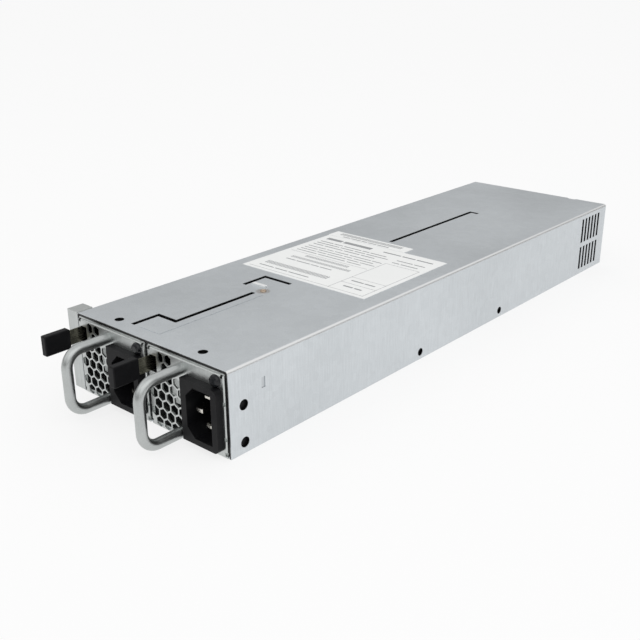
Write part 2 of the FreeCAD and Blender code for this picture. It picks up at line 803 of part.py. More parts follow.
def rear_panel():
    """Rear wall with the harness opening, vents and a foot on the base."""
    panel = body("rear_panel")
    side = f"({INNER} - panel_gap)"
    wall = rect(f"-{side}", "base_sheet", side, f"{CEILING} - panel_gap")
    extrude(panel, "XZ", PANEL_Y, "panel_sheet", "wall", wall)
    foot = rect(f"-{side}", f"{REAR} - panel_foot", side, PANEL_Y)
    taps = [circle(f"{step} * cage_screw_side", PANEL_SCREW_Y, "cage_screw_shank") for step in (-1, 1)]
    extrude(panel, "XY", "base_sheet", "panel_sheet", "foot", foot, *taps)
    cut(panel, "XZ", PANEL_Y, "panel_sheet", "harness", harness_opening("0"))
    left = f"({INNER} - panel_vent_inset)"
    first = rect(left, "panel_vent_low", f"{left} + louvre_wide", "panel_vent_low + panel_vent_tall")
    vents = cut(panel, "XZ", PANEL_Y, "panel_sheet", "vents", first)
    line_pattern(panel, [vents], "X", "louvre_pitch", "panel_vent_count", "vents")


def harness_opening(grow):
    """Outline of the harness opening in X and Z, grown on all sides."""
    left = f"harness_x - harness_wide / 2 - ({grow})"
    right = f"harness_x + harness_wide / 2 + ({grow})"
    return rect(left, f"harness_low - ({grow})", right, f"harness_low + harness_tall + ({grow})",
                f"harness_round + ({grow})")


def harness_grommet():
    """Rubber edging of the harness opening: a lip on each side of the panel and a groove between."""
    grommet = body("harness_grommet")
    inner = "-grommet_wall"
    extrude(grommet, "XZ", f"{PANEL_Y} - grommet_lip", "panel_sheet + 2 * grommet_lip", "core",
            harness_opening("0"), harness_opening(inner))
    for name, place in (("front", f"{PANEL_Y} - grommet_lip"), ("rear", REAR)):
        extrude(grommet, "XZ", place, "grommet_lip", name,
                harness_opening("grommet_lip"), harness_opening(inner))


def backplane():
    """Board across the cage, its foot bracket and the modules' receptacles."""
    board = body("backplane_board")
    side = f"({INNER} - backplane_side)"
    face = rect(f"-{side}", "backplane_low", side, "backplane_low + backplane_tall")
    bores = [circle(f"{step} * cage_screw_side", ANGLE_SCREW_Z, "flush_shank") for step in (-1, 1)]
    extrude(board, "XZ", BACKPLANE_Y, "backplane_thick", "board", face, *bores)
    angle = body("backplane_bracket")
    half = f"({INNER} - angle_side)"
    profile = [
        (BACKPLANE_BACK, "base_sheet"), (f"{BACKPLANE_BACK} + angle_foot", "base_sheet"),
        (f"{BACKPLANE_BACK} + angle_foot", "base_sheet + angle_sheet"),
        (f"{BACKPLANE_BACK} + angle_sheet", "base_sheet + angle_sheet"),
        (f"{BACKPLANE_BACK} + angle_sheet", "base_sheet + angle_tall"),
        (BACKPLANE_BACK, "base_sheet + angle_tall"),
    ]
    extrude(angle, "YZ", f"-{half}", f"2 * {half}", "profile", loop(profile))
    cut(angle, "XZ", BACKPLANE_BACK, "angle_sheet", "web_taps", *bores)
    taps = [circle(f"{step} * cage_screw_side", ANGLE_SCREW_Y, "cage_screw_shank") for step in (-1, 1)]
    cut(angle, "XY", "base_sheet", "angle_sheet", "foot_taps", *taps)
    for name, sign in SIDES:
        receptacle(f"module_receptacle_{name}", f"{sign} * {MODULE_X}")


def receptacle(label, x):
    """Edge connector that takes the tongue of a module's board."""
    block_body = body(label, x)
    low = RECEPTACLE_LOW
    outline = rect("-receptacle_wide / 2", low, "receptacle_wide / 2", f"{low} + receptacle_tall")
    extrude(block_body, "XZ", RECEPTACLE_Y, "receptacle_deep", "block", outline)
    slot = rect("-tongue_wide / 2 - tongue_gap", f"{BOARD_Z} - tongue_gap",
                "tongue_wide / 2 + tongue_gap", f"{BOARD_TOP} + tongue_gap")
    cut(block_body, "XZ", RECEPTACLE_Y, "receptacle_slot", "slot", slot)


def output_header(label, x, cells):
    """Power connector on the back of the backplane, with two rows of cells."""
    header = body(label, x)
    wide = f"({cells} * header_pitch + header_pitch - header_cell)"
    low = "header_rise"
    extrude(header, "XZ", BACKPLANE_BACK, "header_deep", "block",
            rect(f"-{wide} / 2", low, f"{wide} / 2", f"{low} + header_tall"))
    left = f"(-({cells} * header_pitch) / 2 + (header_pitch - header_cell) / 2)"
    under = f"({low} + header_tall / 2 - header_pitch + (header_pitch - header_cell) / 2)"
    mouth = f"({BACKPLANE_BACK} + header_deep - header_cell_deep)"
    cell = cut(header, "XZ", mouth, "header_cell_deep", "cell",
               rect(left, under, f"{left} + header_cell", f"{under} + header_cell"))
    grid_pattern(header, cell, "header_pitch", cells, "header_pitch", "2", "cells")


def cover_top_pieces():
    """Labels, rivet and the divider's hook on the cover's top."""
    plate("rating_label", ("-label_left", f"{FRONT} + label_front", "cage_height"),
          ("label_wide", "label_long", "label_sheet"))
    plate("serial_label", ("-serial_left", f"{FRONT} + serial_front", "cage_height"),
          ("serial_wide", "serial_long", "label_sheet"))
    hook = body("divider_hook")
    left = "-hook_left"
    spot = f"({FRONT} + hook_setback)"
    extrude(hook, "XY", "cage_height", "hook_thick", "tongue",
            rect(left, f"{spot} - hook_wide / 2", f"{left} + hook_long", f"{spot} + hook_wide / 2"))
    rivet = body("divider_rivet", "-rivet_x", f"{FRONT} + rivet_setback", "cage_height")
    extrude(rivet, "XY", "0", "rivet_tall", "head", circle("0", "0", "rivet_radius"))


def cage_screws():
    """Flush screws of the base, and the screws that hold the backplane to its bracket."""
    head = ("cage_screw_head - flush_gap", "base_sheet")
    shank = ("cage_screw_shank - flush_gap", "angle_sheet")
    group("cage_screws", [
        screw("cage_screws", f"{place}_{side}", "Z", (f"{step} * cage_screw_side", y, "0"), False,
              head, shank)
        for side, step in SIDES for place, y in (("angle", ANGLE_SCREW_Y), ("panel", PANEL_SCREW_Y))
    ])
    small_head = ("flush_head", "screw_head_thick")
    small_shank = ("flush_shank - flush_gap", "backplane_thick + angle_sheet")
    group("backplane_screws", [
        screw("backplane_screws", side, "Y",
              (f"{step} * cage_screw_side", f"{BACKPLANE_Y} - screw_head_thick", ANGLE_SCREW_Z),
              False, small_head, small_shank)
        for side, step in SIDES
    ])


# ---------------------------------------------------------------- one module

def module_tray(name, x):
    """Bottom of a module with two low walls and the board's stand-offs."""
    tray = body(f"module_tray_{name}", x)
    extrude(tray, "XY", LOW, "module_sheet", "floor", rect(f"-{HALF}", BACK_OF_FACE, HALF, MODULE_END))
    start = f"({BACK_OF_FACE} + fold_depth + fold_gap)"
    stop = f"({MODULE_END} - module_sheet - fold_depth - fold_gap)"
    walls = [
        rect(f"-{INSIDE}", start, f"-{INSIDE} + module_sheet", stop),
        rect(f"{INSIDE} - module_sheet", start, INSIDE, stop),
    ]
    extrude(tray, "XY", FLOOR, "tray_wall", "walls", *walls)
    across = f"({BOARD_SIDE} - stand_inset)"
    stands = [
        circle(f"{side} * {across}", y, "stand_radius")
        for side in (-1, 1)
        for y in (f"{BOARD_Y} + stand_inset", f"{MODULE_END} - module_sheet - stand_inset")
    ]
    extrude(tray, "XY", FLOOR, "board_stand", "stands", *stands)
    taps = [circle(y, f"{LOW} + flush_rise", "flush_shank") for y in tray_screw_places()]
    cut(tray, "YZ", f"-{HALF}", f"2 * {HALF}", "taps", *taps)


def tray_screw_places():
    """Where the flush screws through the module's walls lie along Y, in the tray."""
    return [f"({FACE} + module_length / 3)", f"({FACE} + 2 * module_length / 3)"]


def plate_screw_place():
    """Where the flush screws of the rear plate's folds lie along Y."""
    return f"({MODULE_END} - module_sheet - fold_depth / 2)"


def module_cover(name, x):
    """Lid and both walls of a module, with the catch's window and the latch's anchor."""
    cover = body(f"module_cover_{name}", x)
    corners = [
        (f"-{HALF}", FLOOR), (f"-{INSIDE}", FLOOR), (f"-{INSIDE}", LID), (INSIDE, LID),
        (INSIDE, FLOOR), (HALF, FLOOR), (HALF, TOP), (f"-{HALF}", TOP),
    ]
    extrude(cover, "XZ", BACK_OF_FACE, "module_length - module_sheet", "shell", loop(corners))
    anchor = rect(f"-{INSIDE}", f"{STRIP_END} + anchor_gap",
                  f"-{INSIDE} + anchor_thick", f"{STRIP_END} + anchor_gap + anchor_length")
    extrude(cover, "XY", STRIP_LOW, "strip_tall", "anchor", anchor)
    cut(cover, "YZ", f"-{HALF}", "module_sheet", "window", catch_window())
    heads = [circle(y, f"{LOW} + flush_rise", "flush_head") for y in tray_screw_places()]
    heads += [circle(plate_screw_place(), z, "flush_head") for z in plate_screw_heights()]
    cut(cover, "YZ", f"-{HALF}", f"2 * {HALF}", "heads", *heads)
    sides = [{"x": HALF}, {"x": f"-{HALF}"}]
    soften(cover, "fold_round", lambda edge: any(lies_at(edge, z=TOP, **side) for side in sides), "bends")


def plate_screw_heights():
    """Heights of the flush screws of the rear plate's folds."""
    return [f"({LOW} + flush_rise)", f"({TOP} - flush_rise)"]


def face_plate(name, x):
    """Front of a module: a honeycomb grille, the openings for inlet, lamp and latch, and three folds."""
    face = body(f"face_plate_{name}", x)
    openings = [
        block("inlet_x", INLET_Z, f"({BODY_WIDE} + 2 * cutout_gap)", f"({BODY_TALL} + 2 * cutout_gap)"),
        circle("lamp_x", LAMP_Z, "lamp_bore"),
    ]
    outline = rect(f"-{HALF}", "face_sill", HALF, LID)
    extrude(face, "XZ", FACE, "module_sheet", "plate", outline, *openings)
    relief_low = f"({LID} - relief)"
    folds = [
        rect(f"-{INSIDE}", FLOOR, f"-{INSIDE} + module_sheet", relief_low),
        rect(f"{INSIDE} - module_sheet", FLOOR, INSIDE, relief_low),
        rect(f"-{INSIDE} + relief", f"{LID} - module_sheet", f"{INSIDE} - relief", LID),
    ]
    extrude(face, "XZ", BACK_OF_FACE, "fold_depth", "folds", *folds)
    rims = [{"z": LID}, {"z": "face_sill"}, {"x": HALF}, {"x": f"-{HALF}"}]
    soften(face, "fold_round", lambda edge: any(lies_at(edge, y=FACE, **rim) for rim in rims), "bends")
    reliefs = [
        block(f"{side} * ({HALF} - relief)", f"({LID} - relief / 2)", "relief", "relief") for side in (-1, 1)
    ]
    nicks = [
        block(f"{side} * ({HALF} - nick_wide / 2)", f"({LOW} + {rise})", "nick_wide", "nick_tall")
        for side, rise in ((-1, "nick_sill"), (1, "nick_sill"), (1, "nick_low"), (1, "nick_high"))
    ]
    cut(face, "XZ", FACE, "module_sheet", "reliefs", *reliefs, *nicks)
    slot_low = f"({LOW} + latch_slot_low)"
    cut(face, "XZ", FACE, "module_sheet", "latch_slot",
        rect(f"{SLOT_RIGHT} - latch_slot_wide", slot_low, SLOT_RIGHT, f"{slot_low} + latch_slot_tall"))
    honeycomb(face)
    bores = [circle("handle_x", z, "handle_thread + flush_gap") for z in (HANDLE_LOW, HANDLE_HIGH)]
    cut(face, "XZ", FACE, "module_sheet", "handle_bores", *bores)


def honeycomb(face):
    """Two interleaved grids of hexagonal holes, left of the inlet and clear of the latch's slot."""
    reach = "((hex_pitch - hex_web) / sqrt(3))"
    row = "(hex_pitch * sqrt(3))"
    left = f"(-{INSIDE} + hex_left)"
    low = f"({LOW} + hex_low)"
    edge = f"(inlet_x - {BODY_WIDE} / 2 - cutout_gap)"
    columns = f"(floor(({edge} - {left}) / hex_pitch) + 1)"
    places = {}
    for half, shift in (("even", "0"), ("odd", "1")):
        first_x = f"({left} + (1 - {shift}) * hex_pitch / 2)"
        first_z = f"({low} + {shift} * {row} / 2)"
        rows = f"(floor(({LOW} + latch_slot_low - {reach} - {first_z}) / {row}) + 1)"
        places[half] = (first_x, f"({first_z} + {rows} * {row})")
        cell = cut(face, "XZ", FACE, "module_sheet", f"cell_{half}", hexagon(first_x, first_z, reach))
        grid_pattern(face, cell, "hex_pitch", columns, row, rows, f"cells_{half}")
    # beside and above the latch's slot, where the second cell of a row is cut short
    odd_x, odd_z = places["odd"]
    even_x, even_z = places["even"]
    cells = [
        cut_hexagon(f"{odd_x} + hex_pitch", odd_z, reach, f"({SLOT_RIGHT} + hex_web)"),
        cut_hexagon(f"{odd_x} + hex_pitch", f"{odd_z} + {row}", reach, f"({SLOT_RIGHT} + hex_web)"),
        hexagon(f"{odd_x} + 2 * hex_pitch", f"{odd_z} + {row}", reach),
        hexagon(f"{even_x} + hex_pitch", even_z, reach),
    ]
    cut(face, "XZ", FACE, "module_sheet", "high_cells", *cells)
    first = hexagon(f"{odd_x} + 2 * hex_pitch", odd_z, reach)
    cell = cut(face, "XZ", FACE, "module_sheet", "third_row", first)
    line_pattern(face, [cell], "X", "hex_pitch", f"{columns} - 2", "third_row")


def cut_hexagon(x, z, reach, left):
    """A hexagon with a corner up, whose left corners are cut off by an upright line."""
    half = f"{reach} * sqrt(3) / 2"
    rise = f"({reach} - ({x} - {left}) / sqrt(3))"
    return loop([
        (f"{x} + {half}", f"{z} - {reach} / 2"), (f"{x} + {half}", f"{z} + {reach} / 2"),
        (x, f"{z} + {reach}"), (left, f"{z} + {rise}"), (left, f"{z} - {rise}"), (x, f"{z} - {reach}"),
    ])


def hexagon(x, z, reach):
    """A hexagon with a corner up, given the distance from its centre to a corner."""
    half = f"{reach} * sqrt(3) / 2"
    return loop([
        (f"{x} + {half}", f"{z} - {reach} / 2"), (f"{x} + {half}", f"{z} + {reach} / 2"),
        (x, f"{z} + {reach}"), (f"{x} - {half}", f"{z} + {reach} / 2"),
        (f"{x} - {half}", f"{z} - {reach} / 2"), (x, f"{z} - {reach}"),
    ])


def handle(name, x):
    """Bent rod with a tapped bore in each end, and the two screws behind the face plate."""
    bar = body(f"handle_{name}", x)
    reach = f"({FACE} - handle_reach)"
    path = Drawing(bar, "YZ", "handle_x", "path")
    corners = [(FACE, HANDLE_LOW), (reach, HANDLE_LOW), (reach, HANDLE_HIGH), (FACE, HANDLE_HIGH)]
    path.add_rounded(corners, {1: "handle_bend", 2: "handle_bend"}, closed=False)
    pipe = bar.newObject("PartDesign::AdditivePipe", f"{bar.Label}_rod")
    pipe.Profile = drawn(bar, "XZ", FACE, "section", circle("handle_x", HANDLE_LOW, "handle_rod"))
    pipe.Spine = (path.finish(), [])
    bores = [circle("handle_x", z, "handle_thread") for z in (HANDLE_LOW, HANDLE_HIGH)]
    cut(bar, "XZ", f"{FACE} - thread_depth", "thread_depth", "threads", *bores)
    head = ("screw_head", "screw_head_thick")
    shank = ("handle_thread - flush_gap", "module_sheet + thread_depth - thread_spare")
    label = f"handle_screws_{name}"
    group(label, [
        screw(label, place, "Y", ("handle_x", f"{BACK_OF_FACE} + screw_head_thick", z), True, head, shank)
        for place, z in (("low", HANDLE_LOW), ("high", HANDLE_HIGH))
    ], x)


def ac_inlet(name, x):
    """Mains inlet: a flange in front of the face plate, the socket behind it and three flat pins."""
    inlet = body(f"ac_inlet_{name}", x)
    front = f"({FACE} - flange_thick)"
    floor_y = f"({front} + socket_deep)"
    corners = block("inlet_x", INLET_Z, "flange_wide", "flange_tall")[1]
    flange = loop(corners, {1: "flange_round", 2: "flange_round"})
    extrude(inlet, "XZ", front, "flange_thick", "flange", flange)
    extrude(inlet, "XZ", FACE, f"{floor_y} + inlet_floor - {FACE}", "housing",
            block("inlet_x", INLET_Z, BODY_WIDE, BODY_TALL))
    left = "(inlet_x - socket_wide / 2)"
    right = "(inlet_x + socket_wide / 2)"
    low = f"({INLET_Z} - socket_tall / 2)"
    high = f"({INLET_Z} + socket_tall / 2)"
    socket = loop([
        (f"{left} + socket_chamfer", low), (right, low), (right, high), (f"{left} + socket_chamfer", high),
        (left, f"{high} - socket_chamfer"), (left, f"{low} + socket_chamfer"),
    ])
    cut(inlet, "XZ", front, "socket_deep", "socket", socket)
    seats = [block(pin_x, pin_z, "pin_wide", "pin_thick") for pin_x, pin_z in pin_places()]
    cut(inlet, "XZ", floor_y, "inlet_floor", "seats", *seats)
    tail = f"({floor_y} + inlet_floor + pin_tail)"
    pins = body(f"inlet_pins_{name}", x)
    recesses = ("pin_recess", "pin_recess", "earth_recess")
    for index, (blade, recess) in enumerate(zip(seats, recesses)):
        start = f"({front} + {recess})"
        extrude(pins, "XZ", start, f"{tail} - {start}", f"pin{index}", blade)


def pin_places():
    """Centres of the two live pins and the earth pin."""
    return [
        (PIN_X, f"({INLET_Z} + pin_pitch / 2)"),
        (PIN_X, f"({INLET_Z} - pin_pitch / 2)"),
        (EARTH_X, INLET_Z),
    ]


def filter_bracket(name, x):
    """Earthing sheet beside the inlet's housing, behind the grille."""
    bracket = body(f"filter_bracket_{name}", x)
    right = f"(inlet_x - {BODY_WIDE} / 2)"
    near = f"({BACK_OF_FACE} + bracket_stand)"
    low = f"{LOW} + bracket_low"
    high = f"{LID} - module_sheet - fold_gap"
    extrude(bracket, "XZ", near, "module_sheet", "web", rect("-bracket_left", low, right, high))
    extrude(bracket, "XZ", near, "fold_depth + module_sheet", "wall",
            rect(f"{right} - module_sheet", low, right, high))


def status_lamp(name, x):
    """Domed lamp in front of the face plate, whose barrel is held by a ring behind it."""
    barrel = "(lamp_bore - flush_gap)"
    lens = body(f"lamp_lens_{name}", f"{x} + lamp_x", FACE, LAMP_Z)
    revolve(lens, "dome", [
        ("0", "-lamp_dome"), ("lamp_rim - lamp_round", "-lamp_dome"),
        ("lamp_rim - lamp_shoulder", "lamp_shoulder - lamp_dome"), ("lamp_rim", "lamp_round - lamp_dome"),
        ("lamp_rim", "0"), (barrel, "0"),
        (barrel, "lamp_barrel"), ("0", "lamp_barrel"),
    ])
    ring = body(f"lamp_ring_{name}", f"{x} + lamp_x", BACK_OF_FACE, LAMP_Z)
    revolve(ring, "ring", [
        (barrel, "0"), (f"{barrel} + lamp_ring_wall", "0"),
        (f"{barrel} + lamp_ring_wall", "lamp_ring_long"), (barrel, "lamp_ring_long"),
    ])


def latch(name, x):
    """Spring strip with its catch, and the grip moulded on its front end."""
    spring = body(f"latch_spring_{name}", x)
    grip_back = f"({FACE} - (grip_front - grip_length))"
    core = f"({grip_back} - grip_length / 2)"
    right = f"({STRIP_LEFT} + strip_thick)"
    outline = [
        (STRIP_LEFT, core), (right, core), (right, STRIP_END), (STRIP_LEFT, STRIP_END),
    ]
    extrude(spring, "XY", STRIP_LOW, "strip_tall", "strip", loop(outline))
    catch = [
        (STRIP_LEFT, CATCH_Y), (STRIP_LEFT, f"{CATCH_Y} + {CATCH_LONG}"),
        (f"{STRIP_LEFT} - catch_reach", f"{CATCH_Y} + catch_flat"), (f"{STRIP_LEFT} - catch_reach", CATCH_Y),
    ]
    extrude(spring, "XY", f"{STRIP_MID} - catch_tall / 2", "catch_tall", "catch", loop(catch))
    grip = body(f"latch_grip_{name}", x)
    tip = f"({FACE} - grip_front)"
    grip_right = f"({right} + grip_proud)"
    grip_left = f"({grip_right} - grip_thick)"
    low = f"({STRIP_MID} - grip_tall / 2)"
    high = f"({STRIP_MID} + grip_tall / 2)"
    block_outline = [
        (grip_left, tip), (grip_right, tip), (grip_right, grip_back), (grip_left, grip_back),
    ]
    extrude(grip, "XY", low, "grip_tall", "block", loop(block_outline))
    cut(grip, "XY", STRIP_LOW, "strip_tall", "core", rect(STRIP_LEFT, core, right, grip_back))
    flats = [{"y": tip}, {"z": high}, {"z": low}]
    soften(grip, "grip_round", lambda edge: any(lies_at(edge, **flat) for flat in flats), "edges")


def fan(name, x):
    """Square fan: a frame with spokes and a bearing tube, and a bladed rotor on a shaft."""
    frame = body(f"fan_frame_{name}", x, FAN_Y, FAN_Z)
    square = block("0", "0", "fan_size", "fan_size", "fan_corner")
    extrude(frame, "XZ", "0", "fan_depth", "shell", square, circle("0", "0", "fan_bore"))
    mount_y = "(fan_depth - fan_mount)"
    spoke_reach = "((fan_bore + fan_size / 2) / 2)"
    for index, outline in enumerate((
        rect(f"-{spoke_reach}", "-fan_spoke / 2", spoke_reach, "fan_spoke / 2"),
        rect("-fan_spoke / 2", f"-{spoke_reach}", "fan_spoke / 2", spoke_reach),
        circle("0", "0", "hub_radius"),
    )):
        extrude(frame, "XZ", mount_y, "fan_mount", f"mount{index}", outline)
    extrude(frame, "XZ", f"{mount_y} - tube_length", "tube_length", "tube", circle("0", "0", "tube_radius"))
    bore = circle("0", "0", "shaft_radius + shaft_play")
    cut(frame, "XZ", f"{mount_y} - tube_length", "tube_length", "bore", bore)
    rotor = body(f"fan_rotor_{name}", x, FAN_Y, FAN_Z)
    hub_end = f"({mount_y} - hub_gap)"
    inside = "(hub_radius - hub_wall)"
    revolve(rotor, "hub", [
        ("0", "hub_front"), ("hub_radius", "hub_front"), ("hub_radius", hub_end), (inside, hub_end),
        (inside, "hub_front + hub_wall"), ("shaft_radius", "hub_front + hub_wall"),
        ("shaft_radius", hub_end), ("0", hub_end),
    ])
    start = "(hub_front + hub_wall / 2)"
    stop = f"({start} + blade_length)"
    half = "blade_sweep / 2"
    root = "(hub_radius - hub_wall / 2)"
    blade = extrude(rotor, "YZ", root, f"fan_bore - blade_tip_gap - {root}", "blade", loop([
        (start, f"-{half}"), (f"{start} + blade_thick", f"-{half}"),
        (stop, half), (f"{stop} - blade_thick", half),
    ]))
    ring = rotor.newObject("PartDesign::PolarPattern", f"{rotor.Label}_blades")
    ring.Originals = [blade]
    ring.Axis = (origin_feature(rotor, "Y_Axis"), [""])
    ring.Angle = 360
    bind(ring, "Occurrences", "blade_count")
    rotor.Tip = ring


def main_board(name, x):
    """Circuit board on the tray's stand-offs, with the tongue that enters the receptacle."""
    board = body(f"main_board_{name}", x)
    tip = f"({MODULE_END} + tongue_reach)"
    shoulder = f"({MODULE_END} - module_sheet)"
    half = "tongue_wide / 2"
    extrude(board, "XY", BOARD_Z, "board_thick", "board", loop([
        (f"-{BOARD_SIDE}", BOARD_Y), (BOARD_SIDE, BOARD_Y), (BOARD_SIDE, shoulder), (half, shoulder),
        (half, tip), (f"-{half}", tip), (f"-{half}", shoulder), (f"-{BOARD_SIDE}", shoulder),
    ]))


def board_parts(name, x):
    """Bulk capacitor, filter choke, transformer and heat sink on the board."""
    can = body(f"bulk_capacitor_{name}", f"{x} + capacitor_x", f"{FACE} + capacitor_place",
               f"{BOARD_TOP} + capacitor_radius")
    neck = "capacitor_radius - capacitor_crimp"
    rim = f"{neck} - capacitor_crimp"
    revolve(can, "can", [
        ("0", "0"), ("capacitor_radius", "0"), ("capacitor_radius", "capacitor_groove"),
        (neck, "capacitor_groove + capacitor_crimp"),
        ("capacitor_radius", "capacitor_groove + 2 * capacitor_crimp"),
        ("capacitor_radius", "capacitor_length"),
        (rim, "capacitor_length"), (rim, "capacitor_length - capacitor_crimp"),
        ("0", "capacitor_length - capacitor_crimp"),
    ])
    choke = body(f"filter_choke_{name}", x)
    spot = ("choke_x", f"{FACE} + capacitor_place + choke_radius")
    extrude(choke, "XY", BOARD_TOP, "choke_tall", "ring",
            circle(*spot, "choke_radius"), circle(*spot, "choke_hole"))
    transformer(name, x)
    heat_sink(name, x)


def transformer(name, x):
    """Ferrite core with two windows and the winding on its middle limb."""
    core = body(f"transformer_{name}", x)
    low = f"{FACE} + core_place"
    frame = rect("-core_wide / 2", low, "core_wide / 2", f"{low} + core_long")
    windows = [
        rect(f"{side} * (core_wide / 2 - core_limb)", f"{low} + core_limb",
             f"{side} * core_pole / 2", f"{low} + core_long - core_limb")
        for side in (-1, 1)
    ]
    lift = f"({BOARD_TOP} + coil_proud)"
    extrude(core, "XY", lift, "core_tall - 2 * coil_proud", "core", frame, *windows)
    wide = "(core_wide / 2 - core_limb - coil_gap)"
    inside = f"{low} + core_limb + coil_gap"
    outside = f"{low} + core_long - core_limb - coil_gap"
    winding = rect(f"-{wide}", inside, wide, outside, "coil_round")
    extrude(core, "XY", BOARD_TOP, "core_tall", "winding", winding)


def heat_sink(name, x):
    """Extruded heat sink with upright fins."""
    sink = body(f"heat_sink_{name}", x)
    low = f"{FACE} + sink_place"
    base = rect("-sink_wide / 2", BOARD_TOP, "sink_wide / 2", f"{BOARD_TOP} + sink_base")
    extrude(sink, "XZ", low, "sink_long", "base", base)
    left = "(-sink_wide / 2)"
    fin = extrude(sink, "XZ", low, "sink_long", "fin",
                  rect(left, f"{BOARD_TOP} + sink_base", f"{left} + fin_thick", f"{BOARD_TOP} + sink_tall"))
    line_pattern(sink, [fin], "X", "fin_pitch", "floor((sink_wide - fin_thick) / fin_pitch) + 1", "fins")


def rear_plate(name, x):
    """Rear of a module: two folds, the tongue's opening and upright louvres."""
    back = body(f"module_rear_plate_{name}", x)
    web = f"({MODULE_END} - module_sheet)"
    extrude(back, "XZ", web, "module_sheet", "web", rect(f"-{INSIDE}", FLOOR, INSIDE, LID))
    folds = [
        rect(f"-{INSIDE}", FLOOR, f"-{INSIDE} + module_sheet", LID),
        rect(f"{INSIDE} - module_sheet", FLOOR, INSIDE, LID),
    ]
    extrude(back, "XZ", f"{web} - fold_depth", "fold_depth", "folds", *folds)
    opening = rect("-tongue_wide / 2 - tongue_clear", f"{BOARD_Z} - tongue_clear",
                   "tongue_wide / 2 + tongue_clear", f"{BOARD_TOP} + tongue_clear")
    cut(back, "XZ", web, "module_sheet", "opening", opening)
    taps = [circle(plate_screw_place(), z, "flush_shank") for z in plate_screw_heights()]
    cut(back, "YZ", f"-{HALF}", f"2 * {HALF}", "taps", *taps)
    first = "(-(louvre_count - 1) * louvre_pitch / 2)"
    louvre = cut(back, "XZ", web, "module_sheet", "louvre",
                 rect(f"{first} - louvre_wide / 2", f"{LOW} + louvre_low",
                      f"{first} + louvre_wide / 2", f"{LOW} + louvre_low + louvre_tall"))
    line_pattern(back, [louvre], "X", "louvre_pitch", "louvre_count", "louvres")


def module_screws(name, x):
    """Flush screws through the module's walls into the tray and the rear plate."""
    label = f"module_screws_{name}"
    head = ("flush_head - flush_gap", "module_sheet")
    shank = ("flush_shank - flush_gap", "flush_length - module_sheet")
    spots = [(y, f"({LOW} + flush_rise)") for y in tray_screw_places()]
    spots += [(plate_screw_place(), z) for z in plate_screw_heights()]
    members = []
    for index, (y, z) in enumerate(spots):
        members.append(screw(label, f"left{index}", "X", (f"-{HALF}", y, z), False, head, shank))
        members.append(screw(label, f"right{index}", "X", (HALF, y, z), True, head, shank))
    group(label, members, x)


cage_cover()
cage_base()
bay_divider()
mounting_ear()
rear_panel()
harness_grommet()
backplane()
output_header("main_output_header", "main_header_x", "main_header_cells")
output_header("side_output_header", f"({INNER} - side_header_inset)", "side_header_cells")
cover_top_pieces()
cage_screws()
for side_name, side_sign in SIDES:
    module_place = f"{side_sign} * {MODULE_X}"
    module_tray(side_name, module_place)
    module_cover(side_name, module_place)
    face_plate(side_name, module_place)
    handle(side_name, module_place)
    ac_inlet(side_name, module_place)
    filter_bracket(side_name, module_place)
    status_lamp(side_name, module_place)
    latch(side_name, module_place)
    fan(side_name, module_place)
    main_board(side_name, module_place)
    board_parts(side_name, module_place)
    rear_plate(side_name, module_place)
    module_screws(side_name, module_place)

doc.recompute()

broken = [thing.Label for thing in doc.Objects if {"Invalid", "Error"} & set(thing.State)]
if broken:
    raise ValueError(f"these objects failed: {broken}")

inner_pieces = {member for made in doc.Objects if made.TypeId == "Part::Compound" for member in made.Links}
inner_pieces |= {end for made in doc.Objects if made.TypeId == "Part::Fuse" for end in (made.Base, made.Tool)}
kinds = ("PartDesign::Body", "Part::Compound", "Part::Box")
sub_parts = [thing for thing in doc.Objects if thing.TypeId in kinds and thing not in inner_pieces]
os.makedirs("parts", exist_ok=True)
for thing in sub_parts:
    if thing.Shape.isNull() or not thing.Shape.isValid():
        raise ValueError(f"{thing.Label} has no valid shape")
for thing in sub_parts:
    thing.Shape.exportStep(f"parts/{thing.Label}.step")
print(len(sub_parts), "sub-parts")
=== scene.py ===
"""Dresses a one-unit-high redundant server power supply: a sheet-metal cage with two slide-out modules."""

import json
import logging
import math
from dataclasses import dataclass
from enum import Enum

import bmesh
import bpy
from mathutils import Matrix, Vector


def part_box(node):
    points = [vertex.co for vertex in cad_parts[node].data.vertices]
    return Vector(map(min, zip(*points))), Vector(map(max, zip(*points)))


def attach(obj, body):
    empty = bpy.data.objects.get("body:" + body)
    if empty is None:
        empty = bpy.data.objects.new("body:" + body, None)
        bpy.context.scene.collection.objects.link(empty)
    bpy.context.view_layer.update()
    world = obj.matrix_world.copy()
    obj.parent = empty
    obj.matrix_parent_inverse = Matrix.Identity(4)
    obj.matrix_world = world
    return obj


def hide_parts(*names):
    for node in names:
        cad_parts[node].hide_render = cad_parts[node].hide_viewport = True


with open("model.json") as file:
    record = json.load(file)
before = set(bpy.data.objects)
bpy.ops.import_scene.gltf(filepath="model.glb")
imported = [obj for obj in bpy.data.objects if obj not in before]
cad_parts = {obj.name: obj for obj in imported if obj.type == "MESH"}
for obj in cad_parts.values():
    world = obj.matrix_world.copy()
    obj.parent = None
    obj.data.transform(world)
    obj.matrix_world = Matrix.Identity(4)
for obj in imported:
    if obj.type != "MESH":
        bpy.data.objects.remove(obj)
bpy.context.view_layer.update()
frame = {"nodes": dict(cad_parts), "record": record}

MM = 0.001
log = logging.getLogger("power_supply")

Colour = tuple[float, float, float]
Spot = tuple[float, float, float]
Settings = dict[str, object]


class Side(Enum):
    """The two bays, by the name that their nodes and bodies end with."""

    LEFT = "left"
    RIGHT = "right"


class Grain(Enum):
    """How much a pattern is squeezed along each axis, which sets the way its streaks run."""

    UPRIGHT = (1.0, 1.0, 0.05)
    LENGTHWISE = (1.0, 0.03, 1.0)
    EVEN = (1.0, 1.0, 1.0)


# ---------------------------------------------------------------- shader maths

